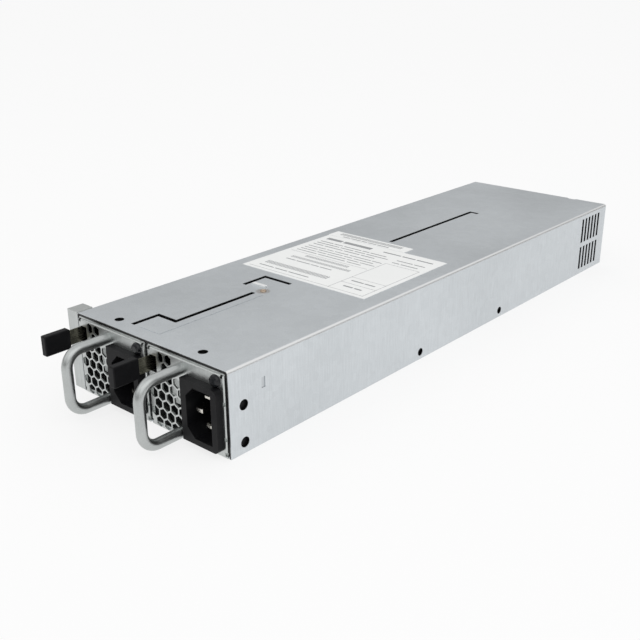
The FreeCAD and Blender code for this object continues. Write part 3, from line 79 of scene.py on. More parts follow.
class Value:
    """One socket of a material's nodes, which takes part in expressions."""

    def __init__(self, nodes: "Nodes", socket: bpy.types.NodeSocket) -> None:
        """Wraps a socket.

        Args:
            nodes: the material's nodes.
            socket: the output that the value comes from.
        """
        self.nodes = nodes
        self.socket = socket

    def math(self, operation: str, first: object, second: object = 0.0) -> "Value":
        """Adds a Math node.

        Args:
            operation: the node's operation.
            first: its first number or link.
            second: its second number or link.

        Returns:
            The node's result.
        """
        return self.nodes.add("ShaderNodeMath", {"operation": operation}, {0: first, 1: second})["Value"]

    def __add__(self, other: object) -> "Value":
        """The sum."""
        return self.math("ADD", self, other)

    def __sub__(self, other: object) -> "Value":
        """The difference."""
        return self.math("SUBTRACT", self, other)

    def __mul__(self, other: object) -> "Value":
        """The product."""
        return self.math("MULTIPLY", self, other)

    def __truediv__(self, other: object) -> "Value":
        """The quotient."""
        return self.math("DIVIDE", self, other)

    def __gt__(self, other: object) -> "Value":
        """1 where this is greater, otherwise 0."""
        return self.math("GREATER_THAN", self, other)

    def __lt__(self, other: object) -> "Value":
        """1 where this is smaller, otherwise 0."""
        return self.math("LESS_THAN", self, other)

    def __rsub__(self, other: object) -> "Value":
        """The difference, with the number first."""
        return self.math("SUBTRACT", other, self)

    __radd__ = __add__
    __rmul__ = __mul__

    def power(self, exponent: float) -> "Value":
        """This value to a power."""
        return self.math("POWER", self, exponent)

    def size(self) -> "Value":
        """This value without its sign."""
        return self.math("ABSOLUTE", self)

    def wave(self) -> "Value":
        """The sine of this value, from -1 to 1."""
        return self.math("SINE", self)

    def at_most(self, other: object) -> "Value":
        """The smaller of two values."""
        return self.math("MINIMUM", self, other)

    def at_least(self, other: object) -> "Value":
        """The greater of two values."""
        return self.math("MAXIMUM", self, other)

    def ramp(self, start: float, stop: float) -> "Value":
        """A smooth step that is 0 at start and 1 at stop.

        Args:
            start: where the step begins.
            stop: where it ends.

        Returns:
            The stepped value.
        """
        return self.nodes.add(
            "ShaderNodeMapRange", {"interpolation_type": "SMOOTHSTEP"},
            {"Value": self, "From Min": start, "From Max": stop},
        )["Result"]


class Nodes:
    """The nodes of one material or world, and the ways to add to them."""

    def __init__(self, owner: bpy.types.Material | bpy.types.World) -> None:
        """Empties the owner's nodes.

        Args:
            owner: the material or world.
        """
        self.owner = owner
        owner.use_nodes = True
        self.tree = owner.node_tree
        self.tree.nodes.clear()

    @classmethod
    def material(cls, name: str) -> "Nodes":
        """Makes the nodes of a new material.

        Args:
            name: the material's name.

        Returns:
            Its nodes.
        """
        return cls(bpy.data.materials.new(name))

    def add(self, kind: str, settings: Settings, sockets: dict[object, object]) -> dict[str, Value]:
        """Adds a node.

        Args:
            kind: the node's type.
            settings: its settings.
            sockets: values or links of its sockets, by name or place.

        Returns:
            Its outputs by name.
        """
        node = self.tree.nodes.new(kind)
        for name, setting in settings.items():
            setattr(node, name, setting)
        for name, wanted in sockets.items():
            target = node.inputs[name]
            if isinstance(wanted, Value):
                self.tree.links.new(wanted.socket, target)
            elif isinstance(wanted, tuple) and len(wanted) == 3 and target.type == "RGBA":
                target.default_value = (*wanted, 1.0)
            else:
                target.default_value = wanted
        return {out.name: Value(self, out) for out in node.outputs if out.enabled}

    def place(self) -> Value:
        """The point on the piece, in metres, in its own frame."""
        return self.add("ShaderNodeTexCoord", {}, {})["Object"]

    def axes(self) -> tuple[Value, Value, Value]:
        """The point's x, y and z, in millimetres."""
        point = self.vector("SCALE", self.place(), {"Scale": 1.0 / MM})
        parts = self.add("ShaderNodeSeparateXYZ", {}, {"Vector": point})
        return parts["X"], parts["Y"], parts["Z"]

    def vector(self, operation: str, first: Value, others: dict[object, object]) -> Value:
        """Adds a Vector Math node.

        Args:
            operation: the node's operation.
            first: its first vector.
            others: its other sockets.

        Returns:
            The node's vector.
        """
        return self.add("ShaderNodeVectorMath", {"operation": operation}, {0: first, **others})["Vector"]

    def noise(self, per_metre: float, detail: float = 3.0, grain: Grain = Grain.EVEN) -> Value:
        """A cloudy pattern, from about 0.25 to 0.75.

        Args:
            per_metre: how many features lie on a metre.
            detail: octaves of finer pattern.
            grain: which way its streaks run.

        Returns:
            The pattern.
        """
        point = self.vector("MULTIPLY", self.place(), {1: grain.value})
        return self.add(
            "ShaderNodeTexNoise", {"noise_dimensions": "3D"},
            {"Vector": point, "Scale": per_metre, "Detail": detail, "Roughness": 0.55},
        )["Fac"]

    def cells(self, per_metre: float) -> Value:
        """A pattern of flat patches, each with a value of its own.

        Args:
            per_metre: how many patches lie on a metre.

        Returns:
            The pattern, from 0 to 1.
        """
        sockets = {"Vector": self.place(), "Scale": per_metre}
        found = self.add("ShaderNodeTexVoronoi", {"feature": "F1"}, sockets)
        return self.add("ShaderNodeSeparateColor", {}, {"Color": found["Color"]})["Red"]

    def mix(self, share: object, first: object, second: object) -> Value:
        """A mix of two colours.

        Args:
            share: how much of the second is in the mix.
            first: a colour or a link.
            second: a colour or a link.

        Returns:
            The mixed colour.
        """
        node = self.tree.nodes.new("ShaderNodeMix")
        node.data_type = "RGBA"
        for index, wanted in ((0, share), (6, first), (7, second)):
            if isinstance(wanted, Value):
                self.tree.links.new(wanted.socket, node.inputs[index])
            else:
                node.inputs[index].default_value = (*wanted, 1.0) if isinstance(wanted, tuple) else wanted
        return Value(self, node.outputs[2])

    def bump(self, height: Value, depth: float, strength: float = 1.0) -> Value:
        """A normal from a height.

        Args:
            height: the pattern.
            depth: its depth in metres.
            strength: how much of it shows.

        Returns:
            The bumped normal.
        """
        sockets = {"Height": height, "Distance": depth, "Strength": strength}
        return self.add("ShaderNodeBump", {}, sockets)["Normal"]

    def shown(self) -> Value:
        """1 for what the camera sees, also by way of metal or glass, and 0 for other light."""
        path = self.add("ShaderNodeLightPath", {}, {})
        return path["Is Camera Ray"].at_least(path["Is Glossy Ray"]).at_least(path["Is Transmission Ray"])

    def principled(self, **sockets: object) -> Value:
        """Adds a Principled shader.

        Args:
            sockets: the shader's sockets, with _ for each space.

        Returns:
            The shader.
        """
        named = {name.replace("_", " "): wanted for name, wanted in sockets.items()}
        return self.add("ShaderNodeBsdfPrincipled", {}, named)["BSDF"]

    def surface(self, **sockets: object) -> bpy.types.Material:
        """Ends the material with a Principled shader.

        Args:
            sockets: the shader's sockets, with _ for each space.

        Returns:
            The finished material.
        """
        self.add("ShaderNodeOutputMaterial", {}, {"Surface": self.principled(**sockets)})
        return self.owner


# ---------------------------------------------------------------- finishes

ZINC_DARK = (0.56, 0.59, 0.61)
ZINC_LIGHT = (0.74, 0.775, 0.80)


@dataclass(frozen=True)
class ZincSheet:
    """Galvanised sheet with an upright rolling grain, faint patches and a painted highlight on its bends.

    The cover also has a half width and a top. Its bends get a painted highlight, between two distances
    from the corner of these. Its cut edges and its inside, which lie deeper than inside from the wall
    and from the top, are painted near black as shade. What is stamped into a wall gets a little painted
    shade, and a stained ring lies round the rivet. Another sheet's front edge, before the given front
    line, is painted near black as shade.
    """

    name: str
    dark: Colour
    light: Colour
    roughness: float
    bend_half: float = 0.0
    bend_top: float = 0.0
    tint_spot: tuple[float, float] | None = None
    front_shade_line: float | None = None
    # Near black: the colour of the painted shade on cut edges, recesses and the inside.
    bare: Colour = (0.05, 0.05, 0.05)
    # The colour of the painted highlight on the bends.
    bend_highlight_colour: Colour = (0.86, 0.87, 0.87)
    bend_band: tuple[float, float] = (1.5, 0.9)
    inside: tuple[float, float] = (0.35, 0.2)
    stamped: tuple[float, float] = (0.04, 1.2)
    # How much painted shade darkens what is stamped into a wall.
    recess_shade_share: float = 0.14
    ring_radius: float = 2.6
    ring_band: tuple[float, float] = (0.2, 1.6)
    ring_colour: Colour = (0.30, 0.24, 0.19)

    def build(self) -> bpy.types.Material:
        """Makes the material."""
        nodes = Nodes.material(self.name)
        streak = nodes.noise(1500.0, 4.0, Grain.UPRIGHT)
        fine = nodes.noise(5200.0, 2.0)
        patches = nodes.cells(260.0)
        cloud = nodes.noise(14.0, 2.0)
        share = (streak - 0.5) * 1.1 + (fine - 0.5) * 1.0 + (patches - 0.5) * 0.16 + cloud
        colour = nodes.mix(share.at_most(1.0).at_least(0.0), self.dark, self.light)
        rough = self.roughness + (streak - 0.5) * 0.16 + (cloud - 0.5) * 0.10
        x, y, z = nodes.axes()
        if self.bend_half:
            corner = self.bend_half + self.bend_top
            # Painted highlight: near the corner the bends are painted paler and a little smoother.
            near = (x.size() + z).ramp(corner - self.bend_band[0], corner - self.bend_band[1])
            colour = nodes.mix(near, colour, self.bend_highlight_colour)
            rough = rough - near * 0.08
            flat = 1.0 - near
            # Painted shade: cut edges and the inside of the cover are painted near black, where little light
            # reaches.
            deep = self.below(x, z, self.inside) * flat
            colour = nodes.mix(deep, colour, self.bare)
            # Painted shade: what is stamped into a wall is darkened a little.
            recess_shade = self.below(x, z, self.stamped) * flat * (1.0 - deep)
            colour = nodes.mix(recess_shade * self.recess_shade_share, colour, self.bare)
        if self.tint_spot:
            reach = ((x - self.tint_spot[0]).power(2.0) + (y - self.tint_spot[1]).power(2.0)).power(0.5)
            wobble = reach + (nodes.noise(900.0) - 0.5) * 2.4
            away = (wobble - self.ring_radius).size()
            ring = (1.0 - away.ramp(*self.ring_band)) * (z > self.bend_top - 0.6)
            colour = nodes.mix(ring * 0.5, colour, self.ring_colour)
        # Painted shade: another sheet's front edge, in the gap between the modules, is painted near black.
        if self.front_shade_line is not None:
            colour = nodes.mix(y < self.front_shade_line, colour, self.bare)
        normal = nodes.bump(streak + fine * 0.4, 0.00003, 0.55)
        return nodes.surface(Base_Color=colour, Metallic=1.0, Roughness=rough, Normal=normal)

    def below(self, x: Value, z: Value, depth: tuple[float, float]) -> Value:
        """Where a point lies deeper than the cover's walls and its top.

        Args:
            x: the point's place across.
            z: its height.
            depth: how much deeper than the wall, and than the top.

        Returns:
            1 there and 0 elsewhere.
        """
        return (x.size() < self.bend_half - depth[0]) * (z < self.bend_top - depth[1])


@dataclass(frozen=True)
class BrushedMetal:
    """Bare metal with a fine grain: rods, springs, pins, screws and extrusions."""

    name: str
    dark: Colour
    light: Colour
    roughness: float
    grain: Grain = Grain.EVEN
    per_metre: float = 2400.0
    depth: float = 0.00002

    def build(self) -> bpy.types.Material:
        """Makes the material."""
        nodes = Nodes.material(self.name)
        grain = nodes.noise(self.per_metre, 3.0, self.grain)
        cloud = nodes.noise(90.0, 3.0)
        share = ((grain - 0.5) * 1.4 + cloud).at_most(1.0).at_least(0.0)
        colour = nodes.mix(share, self.dark, self.light)
        rough = self.roughness + (grain - 0.5) * 0.14 + (cloud - 0.5) * 0.12
        return nodes.surface(Base_Color=colour, Metallic=1.0, Roughness=rough,
                             Normal=nodes.bump(grain, self.depth, 0.6))


@dataclass(frozen=True)
class Moulding:
    """Moulded plastic or rubber with a fine sparkle and a little handling wear."""

    name: str
    colour: Colour
    worn: Colour
    roughness: float
    per_metre: float = 3600.0
    depth: float = 0.00003
    coat: float = 0.0
    gloss: float = 0.15

    def build(self) -> bpy.types.Material:
        """Makes the material."""
        nodes = Nodes.material(self.name)
        fine = nodes.noise(self.per_metre, 2.0)
        wear = nodes.noise(120.0, 5.0)
        colour = nodes.mix(wear.ramp(0.42, 0.78), self.colour, self.worn)
        rough = self.roughness + (fine - 0.5) * 0.14 + (wear - 0.5) * 0.16
        return nodes.surface(Base_Color=colour, Roughness=rough, Normal=nodes.bump(fine, self.depth, 0.5),
                             Specular_IOR_Level=self.gloss, Coat_Weight=self.coat, Coat_Roughness=0.06)


@dataclass(frozen=True)
class Film:
    """Label film: white, hardly glossy, with a faint mottle."""

    name: str
    colour: Colour
    shade: Colour

    def build(self) -> bpy.types.Material:
        """Makes the material."""
        nodes = Nodes.material(self.name)
        mottle = nodes.noise(700.0, 4.0)
        cloud = nodes.noise(40.0, 2.0)
        colour = nodes.mix(((mottle - 0.5) * 0.8 + cloud).at_most(1.0).at_least(0.0), self.shade, self.colour)
        rough = 0.42 + (mottle - 0.5) * 0.2
        return nodes.surface(Base_Color=colour, Roughness=rough, Normal=nodes.bump(mottle, 0.00001, 0.4))


@dataclass(frozen=True)
class CircuitBoard:
    """Green board with lighter traces under its mask."""

    name: str

    def build(self) -> bpy.types.Material:
        """Makes the material."""
        nodes = Nodes.material(self.name)
        x, y, z = nodes.axes()
        lines = ((x * 2.1).wave() > 0.72) * ((y * 0.31).wave() > -0.35)
        cross = ((y * 1.7).wave() > 0.80) * ((x * 0.27).wave() > 0.1)
        traces = (lines + cross).at_most(1.0)
        fine = nodes.noise(1800.0, 2.0)
        colour = nodes.mix(traces * 0.55, (0.012, 0.10, 0.045), (0.04, 0.21, 0.09))
        rough = 0.34 + (fine - 0.5) * 0.12
        normal = nodes.bump(traces + fine * 0.2, 0.00004, 0.5)
        return nodes.surface(Base_Color=colour, Roughness=rough, Normal=normal)


@dataclass(frozen=True)
class WoundCore:
    """Dark ferrite whose middle is wrapped in amber tape, or a ring wound with copper."""

    name: str
    core: Colour
    wrap: Colour
    half_wrap: float
    middle: tuple[float, float]
    turns: int = 0

    def build(self) -> bpy.types.Material:
        """Makes the material."""
        nodes = Nodes.material(self.name)
        x, y, z = nodes.axes()
        fine = nodes.noise(1500.0, 3.0)
        across = x - self.middle[0]
        along = y - self.middle[1]
        if self.turns:
            angle = nodes.add("ShaderNodeMath", {"operation": "ARCTAN2"}, {0: along, 1: across})["Value"]
            ridges = (angle * float(self.turns)).wave() * 0.5 + 0.5
            colour = nodes.mix(ridges, self.core, self.wrap)
            return nodes.surface(Base_Color=colour, Metallic=ridges * 0.6 + 0.3, Roughness=0.3 + fine * 0.1,
                                 Normal=nodes.bump(ridges, 0.0004, 0.8))
        wrapped = (across.size() < self.half_wrap) * (along.size() < self.half_wrap)
        colour = nodes.mix(wrapped, self.core, self.wrap)
        layers = (z * 3.2).wave() * wrapped
        return nodes.surface(Base_Color=colour, Roughness=0.72 - wrapped * 0.36 + (fine - 0.5) * 0.12,
                             Normal=nodes.bump(layers * 0.5 + fine * 0.4, 0.00008, 0.6))


@dataclass(frozen=True)
class Sleeve:
    """Glossy shrink sleeve of a capacitor, with a paler stripe."""

    name: str
    colour: Colour
    stripe: Colour
    middle_x: float
    top_z: float

    def build(self) -> bpy.types.Material:
        """Makes the material."""
        nodes = Nodes.material(self.name)
        x, y, z = nodes.axes()
        striped = ((x - self.middle_x).size() < 2.6) * (z > self.top_z - 6.0)
        fine = nodes.noise(800.0, 2.0)
        colour = nodes.mix(striped, self.colour, self.stripe)
        return nodes.surface(Base_Color=colour, Roughness=0.24 + (fine - 0.5) * 0.10,
                             Normal=nodes.bump(fine, 0.00003, 0.4), Coat_Weight=0.5, Coat_Roughness=0.08)


# ---------------------------------------------------------------- mesh helpers

def dress(piece: bpy.types.Object, material: bpy.types.Material) -> None:
    """Gives a piece one material.

    Args:
        piece: the object.
        material: its finish.
    """
    piece.data.materials.clear()
    piece.data.materials.append(material)


def new_piece(name: str, mesh: bmesh.types.BMesh, body: str,
              material: bpy.types.Material) -> bpy.types.Object:
    """Turns a built mesh into a dressed piece that rides on a body.

    Args:
        name: the piece's name.
        mesh: the built mesh, in metres; it is freed.
        body: the body that it rides on.
        material: its finish.

    Returns:
        The piece.
    """
    bmesh.ops.recalc_face_normals(mesh, faces=mesh.faces)
    data = bpy.data.meshes.new(name)
    mesh.to_mesh(data)
    mesh.free()
    piece = bpy.data.objects.new(name, data)
    bpy.context.scene.collection.objects.link(piece)
    dress(piece, material)
    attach(piece, body)
    return piece


def prism(mesh: bmesh.types.BMesh, outline: list[tuple[float, float]], low: float, high: float,
          place: Matrix) -> None:
    """Adds an upright prism to a mesh.

    Args:
        mesh: the mesh that it is added to.
        outline: its corners in millimetres.
        low: its lower face in millimetres.
        high: its upper face in millimetres.
        place: turns and moves it, in metres.
    """
    rings = [
        [mesh.verts.new(place @ Vector((x * MM, y * MM, level * MM))) for x, y in outline]
        for level in (low, high)
    ]
    mesh.faces.new(rings[0][::-1])
    mesh.faces.new(rings[1])
    count = len(outline)
    for index in range(count):
        after = (index + 1) % count
        mesh.faces.new((rings[0][index], rings[0][after], rings[1][after], rings[1][index]))


def lathe(mesh: bmesh.types.BMesh, profile: list[tuple[float, float]], place: Matrix, steps: int) -> None:
    """Turns a profile about Z and adds it to a mesh.

    Args:
        mesh: the mesh that it is added to.
        profile: points of radius and height in millimetres, from axis to axis.
        place: turns and moves it, in metres.
        steps: how many facets go round.
    """
    rings = []
    for radius, height in profile:
        if radius < 1e-6:
            rings.append([mesh.verts.new(place @ Vector((0.0, 0.0, height * MM)))])
            continue
        spots = [(radius * x, radius * y, height) for x, y in round_points(steps)]
        rings.append([mesh.verts.new(place @ Vector((x * MM, y * MM, z * MM))) for x, y, z in spots])
    for first, second in zip(rings, rings[1:]):
        for step in range(steps):
            after = (step + 1) % steps
            if len(first) == 1:
                mesh.faces.new((first[0], second[step], second[after]))
            elif len(second) == 1:
                mesh.faces.new((first[step], first[after], second[0]))
            else:
                mesh.faces.new((first[step], first[after], second[after], second[step]))


def round_points(steps: int) -> list[tuple[float, float]]:
    """Points on a circle of radius 1.

    Args:
        steps: how many there are.

    Returns:
        The points.
    """
    turns = [2.0 * math.pi * step / steps for step in range(steps)]
    return [(math.cos(turn), math.sin(turn)) for turn in turns]


def smooth(piece: bpy.types.Object, angle: float = 40.0) -> None:
    """Shades a piece smooth, apart from its sharp edges.

    Args:
        piece: the object.
        angle: edges sharper than this many degrees stay sharp.
    """
    piece.data.shade_smooth()
    piece.data.set_sharp_from_angle(angle=math.radians(angle))


def node_box(node: str) -> tuple[Vector, Vector]:
    """Lowest and highest corner of a node at rest, in millimetres.

    Args:
        node: the node's name.

    Returns:
        The two corners.
    """
    low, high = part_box(node)
    return low / MM, high / MM


# ---------------------------------------------------------------- labels

@dataclass(frozen=True)
class BarRow:
    """A row of plain printed bars, placed by shares of the label."""

    across: tuple[float, float]
    along: float
    tall: float
    bars: tuple[float, ...]


@dataclass
class PrintedLabel:
    """A label on the cover's top with a generic pattern of ruled lines and plain bars."""

    node: str
    rows: tuple[BarRow, ...]
    rules: tuple[tuple[float, float, float, float], ...] = ()
    rule_width: float = 0.25
    proud: float = 0.03

    def build(self, ink: bpy.types.Material) -> None:
        """Lays the print on the label.

        Args:
            ink: the finish of the print.
        """
        low, high = node_box(self.node)
        wide = high.x - low.x
        long = high.y - low.y
        mesh = bmesh.new()
        place = Matrix.Identity(4)
        level = high.z

        def bar(x0: float, y0: float, x1: float, y1: float) -> None:
            corners = [(x0, y0), (x1, y0), (x1, y1), (x0, y1)]
            prism(mesh, corners, level - self.proud, level + self.proud, place)

        for row in self.rows:
            start = low.x + wide * row.across[0]
            room = wide * (row.across[1] - row.across[0])
            middle = low.y + long * row.along
            total = sum(row.bars)
            for index, share in enumerate(row.bars):
                length = room * share / total
                if index % 2 == 0:
                    bar(start, middle - row.tall / 2, start + length, middle + row.tall / 2)
                start += length
        for x0, y0, x1, y1 in self.rules:
            half = self.rule_width / 2
            start, stop = (Vector((low.x + wide * x, low.y + long * y)) for x, y in ((x0, y0), (x1, y1)))
            bar(start.x - half, start.y - half, stop.x + half, stop.y + half)
        new_piece(f"{self.node}_print", mesh, "cage", ink)
        log.info("printed %s with %d rows", self.node, len(self.rows))


def dashes(*lengths: float) -> tuple[float, ...]:
    """Bars of the given lengths with equal narrow gaps between them.

    Args:
        lengths: the bars' lengths, as shares.

    Returns:
        Lengths of bars and gaps in turn.
    """
    row: list[float] = []
    for length in lengths:
        row += [length, 0.6]
    return tuple(row[:-1])


def comb(count: int) -> tuple[float, ...]:
    """Equal upright bars and gaps.

    Args:
        count: how many bars there are.

    Returns:
        Lengths of bars and gaps in turn.
    """
    return (1.0,) * (2 * count - 1)


RATING_ROWS = (
    BarRow((0.05, 0.44), 0.915, 3.2, dashes(5.0, 9.0)),
    BarRow((0.05, 0.62), 0.83, 0.9, dashes(6, 4, 8, 3, 7)),
    BarRow((0.05, 0.66), 0.785, 0.9, dashes(9, 5, 4, 8)),
    BarRow((0.05, 0.58), 0.74, 0.9, dashes(4, 7, 6, 5)),
    BarRow((0.05, 0.68), 0.68, 0.8, dashes(8, 3, 6, 9, 4)),
    BarRow((0.05, 0.64), 0.635, 0.8, dashes(5, 9, 3, 7)),
    BarRow((0.05, 0.68), 0.59, 0.8, dashes(7, 4, 8, 5, 6)),
    BarRow((0.05, 0.60), 0.545, 0.8, dashes(6, 8, 4)),
    BarRow((0.20, 0.56), 0.455, 2.6, comb(26)),
    BarRow((0.13, 0.62), 0.385, 2.6, comb(36)),
    BarRow((0.13, 0.52), 0.32, 0.9, dashes(5, 7, 4, 6)),
    BarRow((0.08, 0.60), 0.17, 4.2, comb(30)),
    BarRow((0.08, 0.50), 0.09, 0.9, dashes(6, 5, 8)),
    BarRow((0.54, 0.94), 0.915, 1.3, dashes(7, 5, 6)),
    BarRow((0.72, 0.94), 0.81, 0.9, dashes(6, 4)),
    BarRow((0.72, 0.92), 0.75, 0.9, dashes(3, 7)),
    BarRow((0.74, 0.92), 0.24, 1.1, dashes(6, 5)),
    BarRow((0.76, 0.90), 0.12, 1.3, dashes(4, 3)),
)
RATING_RULES = (
    (0.70, 0.04, 0.70, 0.70), (0.70, 0.30, 0.965, 0.30), (0.70, 0.18, 0.965, 0.18),
    (0.035, 0.035, 0.965, 0.035), (0.965, 0.035, 0.965, 0.70), (0.70, 0.70, 0.965, 0.70),
    (0.035, 0.50, 0.68, 0.50),
)
SERIAL_ROWS = (
    BarRow((0.10, 0.90), 0.62, 3.6, comb(44)),
    BarRow((0.18, 0.78), 0.20, 1.0, dashes(5, 7, 4, 6, 8)),
)


# ---------------------------------------------------------------- fasteners

SCREW_STEPS = 28
RIVET_STEPS = 40


@dataclass
class RivetButton:
    """Tubular rivet on the cover's top, with a rolled rim and a dimple."""

    node: str = "divider_rivet"
    rim: float = 0.45
    dimple: float = 0.3

    def build(self, metal: bpy.types.Material) -> None:
        """Replaces the plain rivet.

        Args:
            metal: the rivet's finish.
        """
        low, high = node_box(self.node)
        radius = (high.x - low.x) / 2
        top = high.z - low.z
        inner = radius - self.rim
        profile = [
            (0.0, 0.0), (radius, 0.0), (radius, top * 0.45), (radius - 0.12, top * 0.8), (radius - 0.3, top),
            (inner, top * 0.96), (inner - 0.2, top - self.dimple), (inner - 0.55, top - self.dimple * 1.3),
            (0.0, top - self.dimple * 1.2),
        ]
        mesh = bmesh.new()
        place = Matrix.Translation(Vector(((low.x + high.x) / 2, (low.y + high.y) / 2, low.z)) * MM)
        lathe(mesh, profile, place, RIVET_STEPS)
        piece = new_piece("divider_rivet_button", mesh, "cage", metal)
        smooth(piece)
        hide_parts(self.node)
        log.info("riveted the divider")


@dataclass
class CrossScrews:
    """Screws whose heads have a cross recess, one for each solid of a node.

    They point along the axis, or without one to the middle from both sides.
    """

    node: str
    body: str
    axis: Vector | None
    shank_share: float
    flat: bool = True

    def build(self, metal: bpy.types.Material) -> None:
        """Replaces the plain screws.

        Args:
            metal: the screws' finish.
        """
        mesh = bmesh.new()
        spots = solids(self.node)
        for low, high in spots:
            self.screw(mesh, low, high, self.axis or self.across(low, high))
        piece = new_piece(f"{self.node}_crossed", mesh, self.body, metal)
        smooth(piece, 35.0)
        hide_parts(self.node)
        log.info("cut a cross in %d heads of %s", len(spots), self.node)

    def across(self, low: Vector, high: Vector) -> Vector:
        """The way to the node's middle plane along X.

        Args:
            low: the solid's lowest corner in millimetres.
            high: its highest corner in millimetres.

        Returns:
            The unit vector.
        """
        start, stop = node_box(self.node)
        return Vector((-1.0 if low.x + high.x > start.x + stop.x else 1.0, 0.0, 0.0))

    def screw(self, mesh: bmesh.types.BMesh, low: Vector, high: Vector, inward: Vector) -> None:
        """Adds one screw.

        Args:
            mesh: the mesh that it is added to.
            low: the solid's lowest corner in millimetres.
            high: the solid's highest corner in millimetres.
            inward: the way from its head to its tip.
        """
        middle = (low + high) / 2
        half = abs((high - low).dot(inward)) / 2
        radius = max((high - low)[axis] for axis in range(3) if abs(inward[axis]) < 0.5) / 2
        turn = (-inward).to_track_quat("Z", "Y").to_matrix().to_4x4()
        place = Matrix.Translation((middle - inward * half) * MM) @ turn
        head = min(half, radius * 0.8)
        shank = radius * self.shank_share
        length = 2 * half
        edge = 0.12 if self.flat else radius * 0.35
        lathe(mesh, [
            (0.0, -length), (shank * 0.8, -length), (shank, -length + shank * 0.3), (shank, -head),
            (radius, -head), (radius, -edge), (radius - edge, -0.001),
        ], place, SCREW_STEPS)
        self.recess(mesh, radius - edge, radius * 0.52, radius * 0.13, head * 0.6, place)

    @staticmethod
    def recess(mesh: bmesh.types.BMesh, radius: float, reach: float, half: float, deep: float,
               place: Matrix) -> None:
        """Adds the head's flat face with its cross recess.

        Args:
            mesh: the mesh that it is added to.
            radius: the flat face's radius in millimetres.
            reach: how far each arm reaches.
            half: half of an arm's width.
            deep: the recess's depth.
            place: turns and moves it, in metres.
        """
        quarter = [(reach, -half), (reach, half), (half, half)]
        cross = []
        for turn in range(4):
            cos, sin = math.cos(turn * math.pi / 2), math.sin(turn * math.pi / 2)
            cross += [(x * cos - y * sin, x * sin + y * cos) for x, y in quarter]
        rim = [(radius * x, radius * y) for x, y in round_points(SCREW_STEPS)]
        loops = []
        for outline, level in ((rim, 0.0), (cross, 0.0), (cross, -deep)):
            loops.append([mesh.verts.new(place @ Vector((x * MM, y * MM, level * MM))) for x, y in outline])
        edges = [
            mesh.edges.new((ring[index], ring[(index + 1) % len(ring)]))
            for ring in loops[:2] for index in range(len(ring))
        ]
        bmesh.ops.triangle_fill(mesh, use_beauty=True, use_dissolve=False, edges=edges)
        count = len(cross)
        for index in range(count):
            after = (index + 1) % count
            mesh.faces.new((loops[1][index], loops[1][after], loops[2][after], loops[2][index]))
        mesh.faces.new(loops[2])


def solids(node: str) -> list[tuple[Vector, Vector]]:
    """Boxes of the separate solids of a node, in millimetres.

    Args:
        node: the node's name.

    Returns:
        The lowest and highest corner of each.
    """
    mesh = bmesh.new()
    mesh.from_mesh(frame["nodes"][node].data)
    bmesh.ops.remove_doubles(mesh, verts=mesh.verts, dist=1e-6)
    left = set(mesh.verts)
    found = []
    while left:
        group = {left.pop()}
        edge = set(group)
        while edge:
            edge = {near for vert in edge for link in vert.link_edges for near in link.verts} & left
            left -= edge
            group |= edge
        spots = [vert.co / MM for vert in group]
        found.append((Vector([min(spot[axis] for spot in spots) for axis in range(3)]),
                      Vector([max(spot[axis] for spot in spots) for axis in range(3)])))
    mesh.free()
    return sorted(found, key=lambda pair: tuple(pair[0]))


@dataclass
class PinBlades:
    """The inlet's three pins with chamfered tips."""

    side: Side
    chamfers: tuple[float, float] = (0.75, 0.5)
    earth_share: float = 0.4

    def build(self, metal: bpy.types.Material) -> None:
        """Replaces the plain pins.

        Args:
            metal: the pins' finish.
        """
        node = f"inlet_pins_{self.side.value}"
        mesh = bmesh.new()
        pins = solids(node)
        first = min(low.y for low, high in pins)
        for low, high in pins:
            share = self.earth_share if low.y < first + 0.1 else 1.0
            across, up = (size * share for size in self.chamfers)
            rings = []
            for inset_x, inset_z, y in ((across, up, low.y), (0.0, 0.0, low.y + across), (0.0, 0.0, high.y)):
                x0, x1, z0, z1 = low.x + inset_x, high.x - inset_x, low.z + inset_z, high.z - inset_z
                corners = ((x0, z0), (x1, z0), (x1, z1), (x0, z1))
                rings.append([mesh.verts.new(Vector((x, y, z)) * MM) for x, z in corners])
            mesh.faces.new(rings[0])
            mesh.faces.new(rings[-1][::-1])
            for near, far in zip(rings, rings[1:]):
                for index in range(4):
                    after = (index + 1) % 4
                    mesh.faces.new((near[index], near[after], far[after], far[index]))
        piece = new_piece(f"{node}_chamfered", mesh, f"module_{self.side.value}", metal)
        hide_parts(node)
        log.info("chamfered %d pins of the %s inlet", len(pins), self.side.value)


@dataclass
class SlotShadeSheet:
    """Black sheet that paints shade between the cover and the modules, seen through the cover's slots and
    holes.
    """

    inset: float = 2.0
    thick: float = 0.08

    def build(self, finish: bpy.types.Material) -> None:
        """Lays the shade sheet over both modules and down the right wall.

        Args:
            finish: the shade sheet's finish.
        """
        mesh = bmesh.new()
        place = Matrix.Identity(4)
        ceiling = node_box("bay_divider")[1].z
        for side in Side:
            low, high = node_box(f"module_cover_{side.value}")
            stand = (ceiling - high.z - self.thick) / 2
            start = low.y + self.inset
            top = [(low.x, start), (high.x, start), (high.x, high.y), (low.x, high.y)]
            prism(mesh, top, high.z + stand, high.z + stand + self.thick, place)
        near, far = high.x + stand, high.x + stand + self.thick
        prism(mesh, [(near, start), (far, start), (far, high.y), (near, high.y)], low.z, high.z, place)
        # The sheet is painted shade: it darkens what the slots show.
        new_piece("slot_shade_sheet", mesh, "cage", finish)
        log.info("laid the film inside the cover")


# ---------------------------------------------------------------- studio

@dataclass(frozen=True)
class SoftLamp:
    """A square lamp: its place and side in metres, and its power in watts."""

    name: str
    spot: Spot
    side: float
    watts: float


LAMPS = (
    SoftLamp("key_lamp", (0.9, -0.5, 0.85), 1.8, 4.5),
    SoftLamp("fill_lamp", (-0.6, -0.9, 0.7), 1.2, 1.0),
)


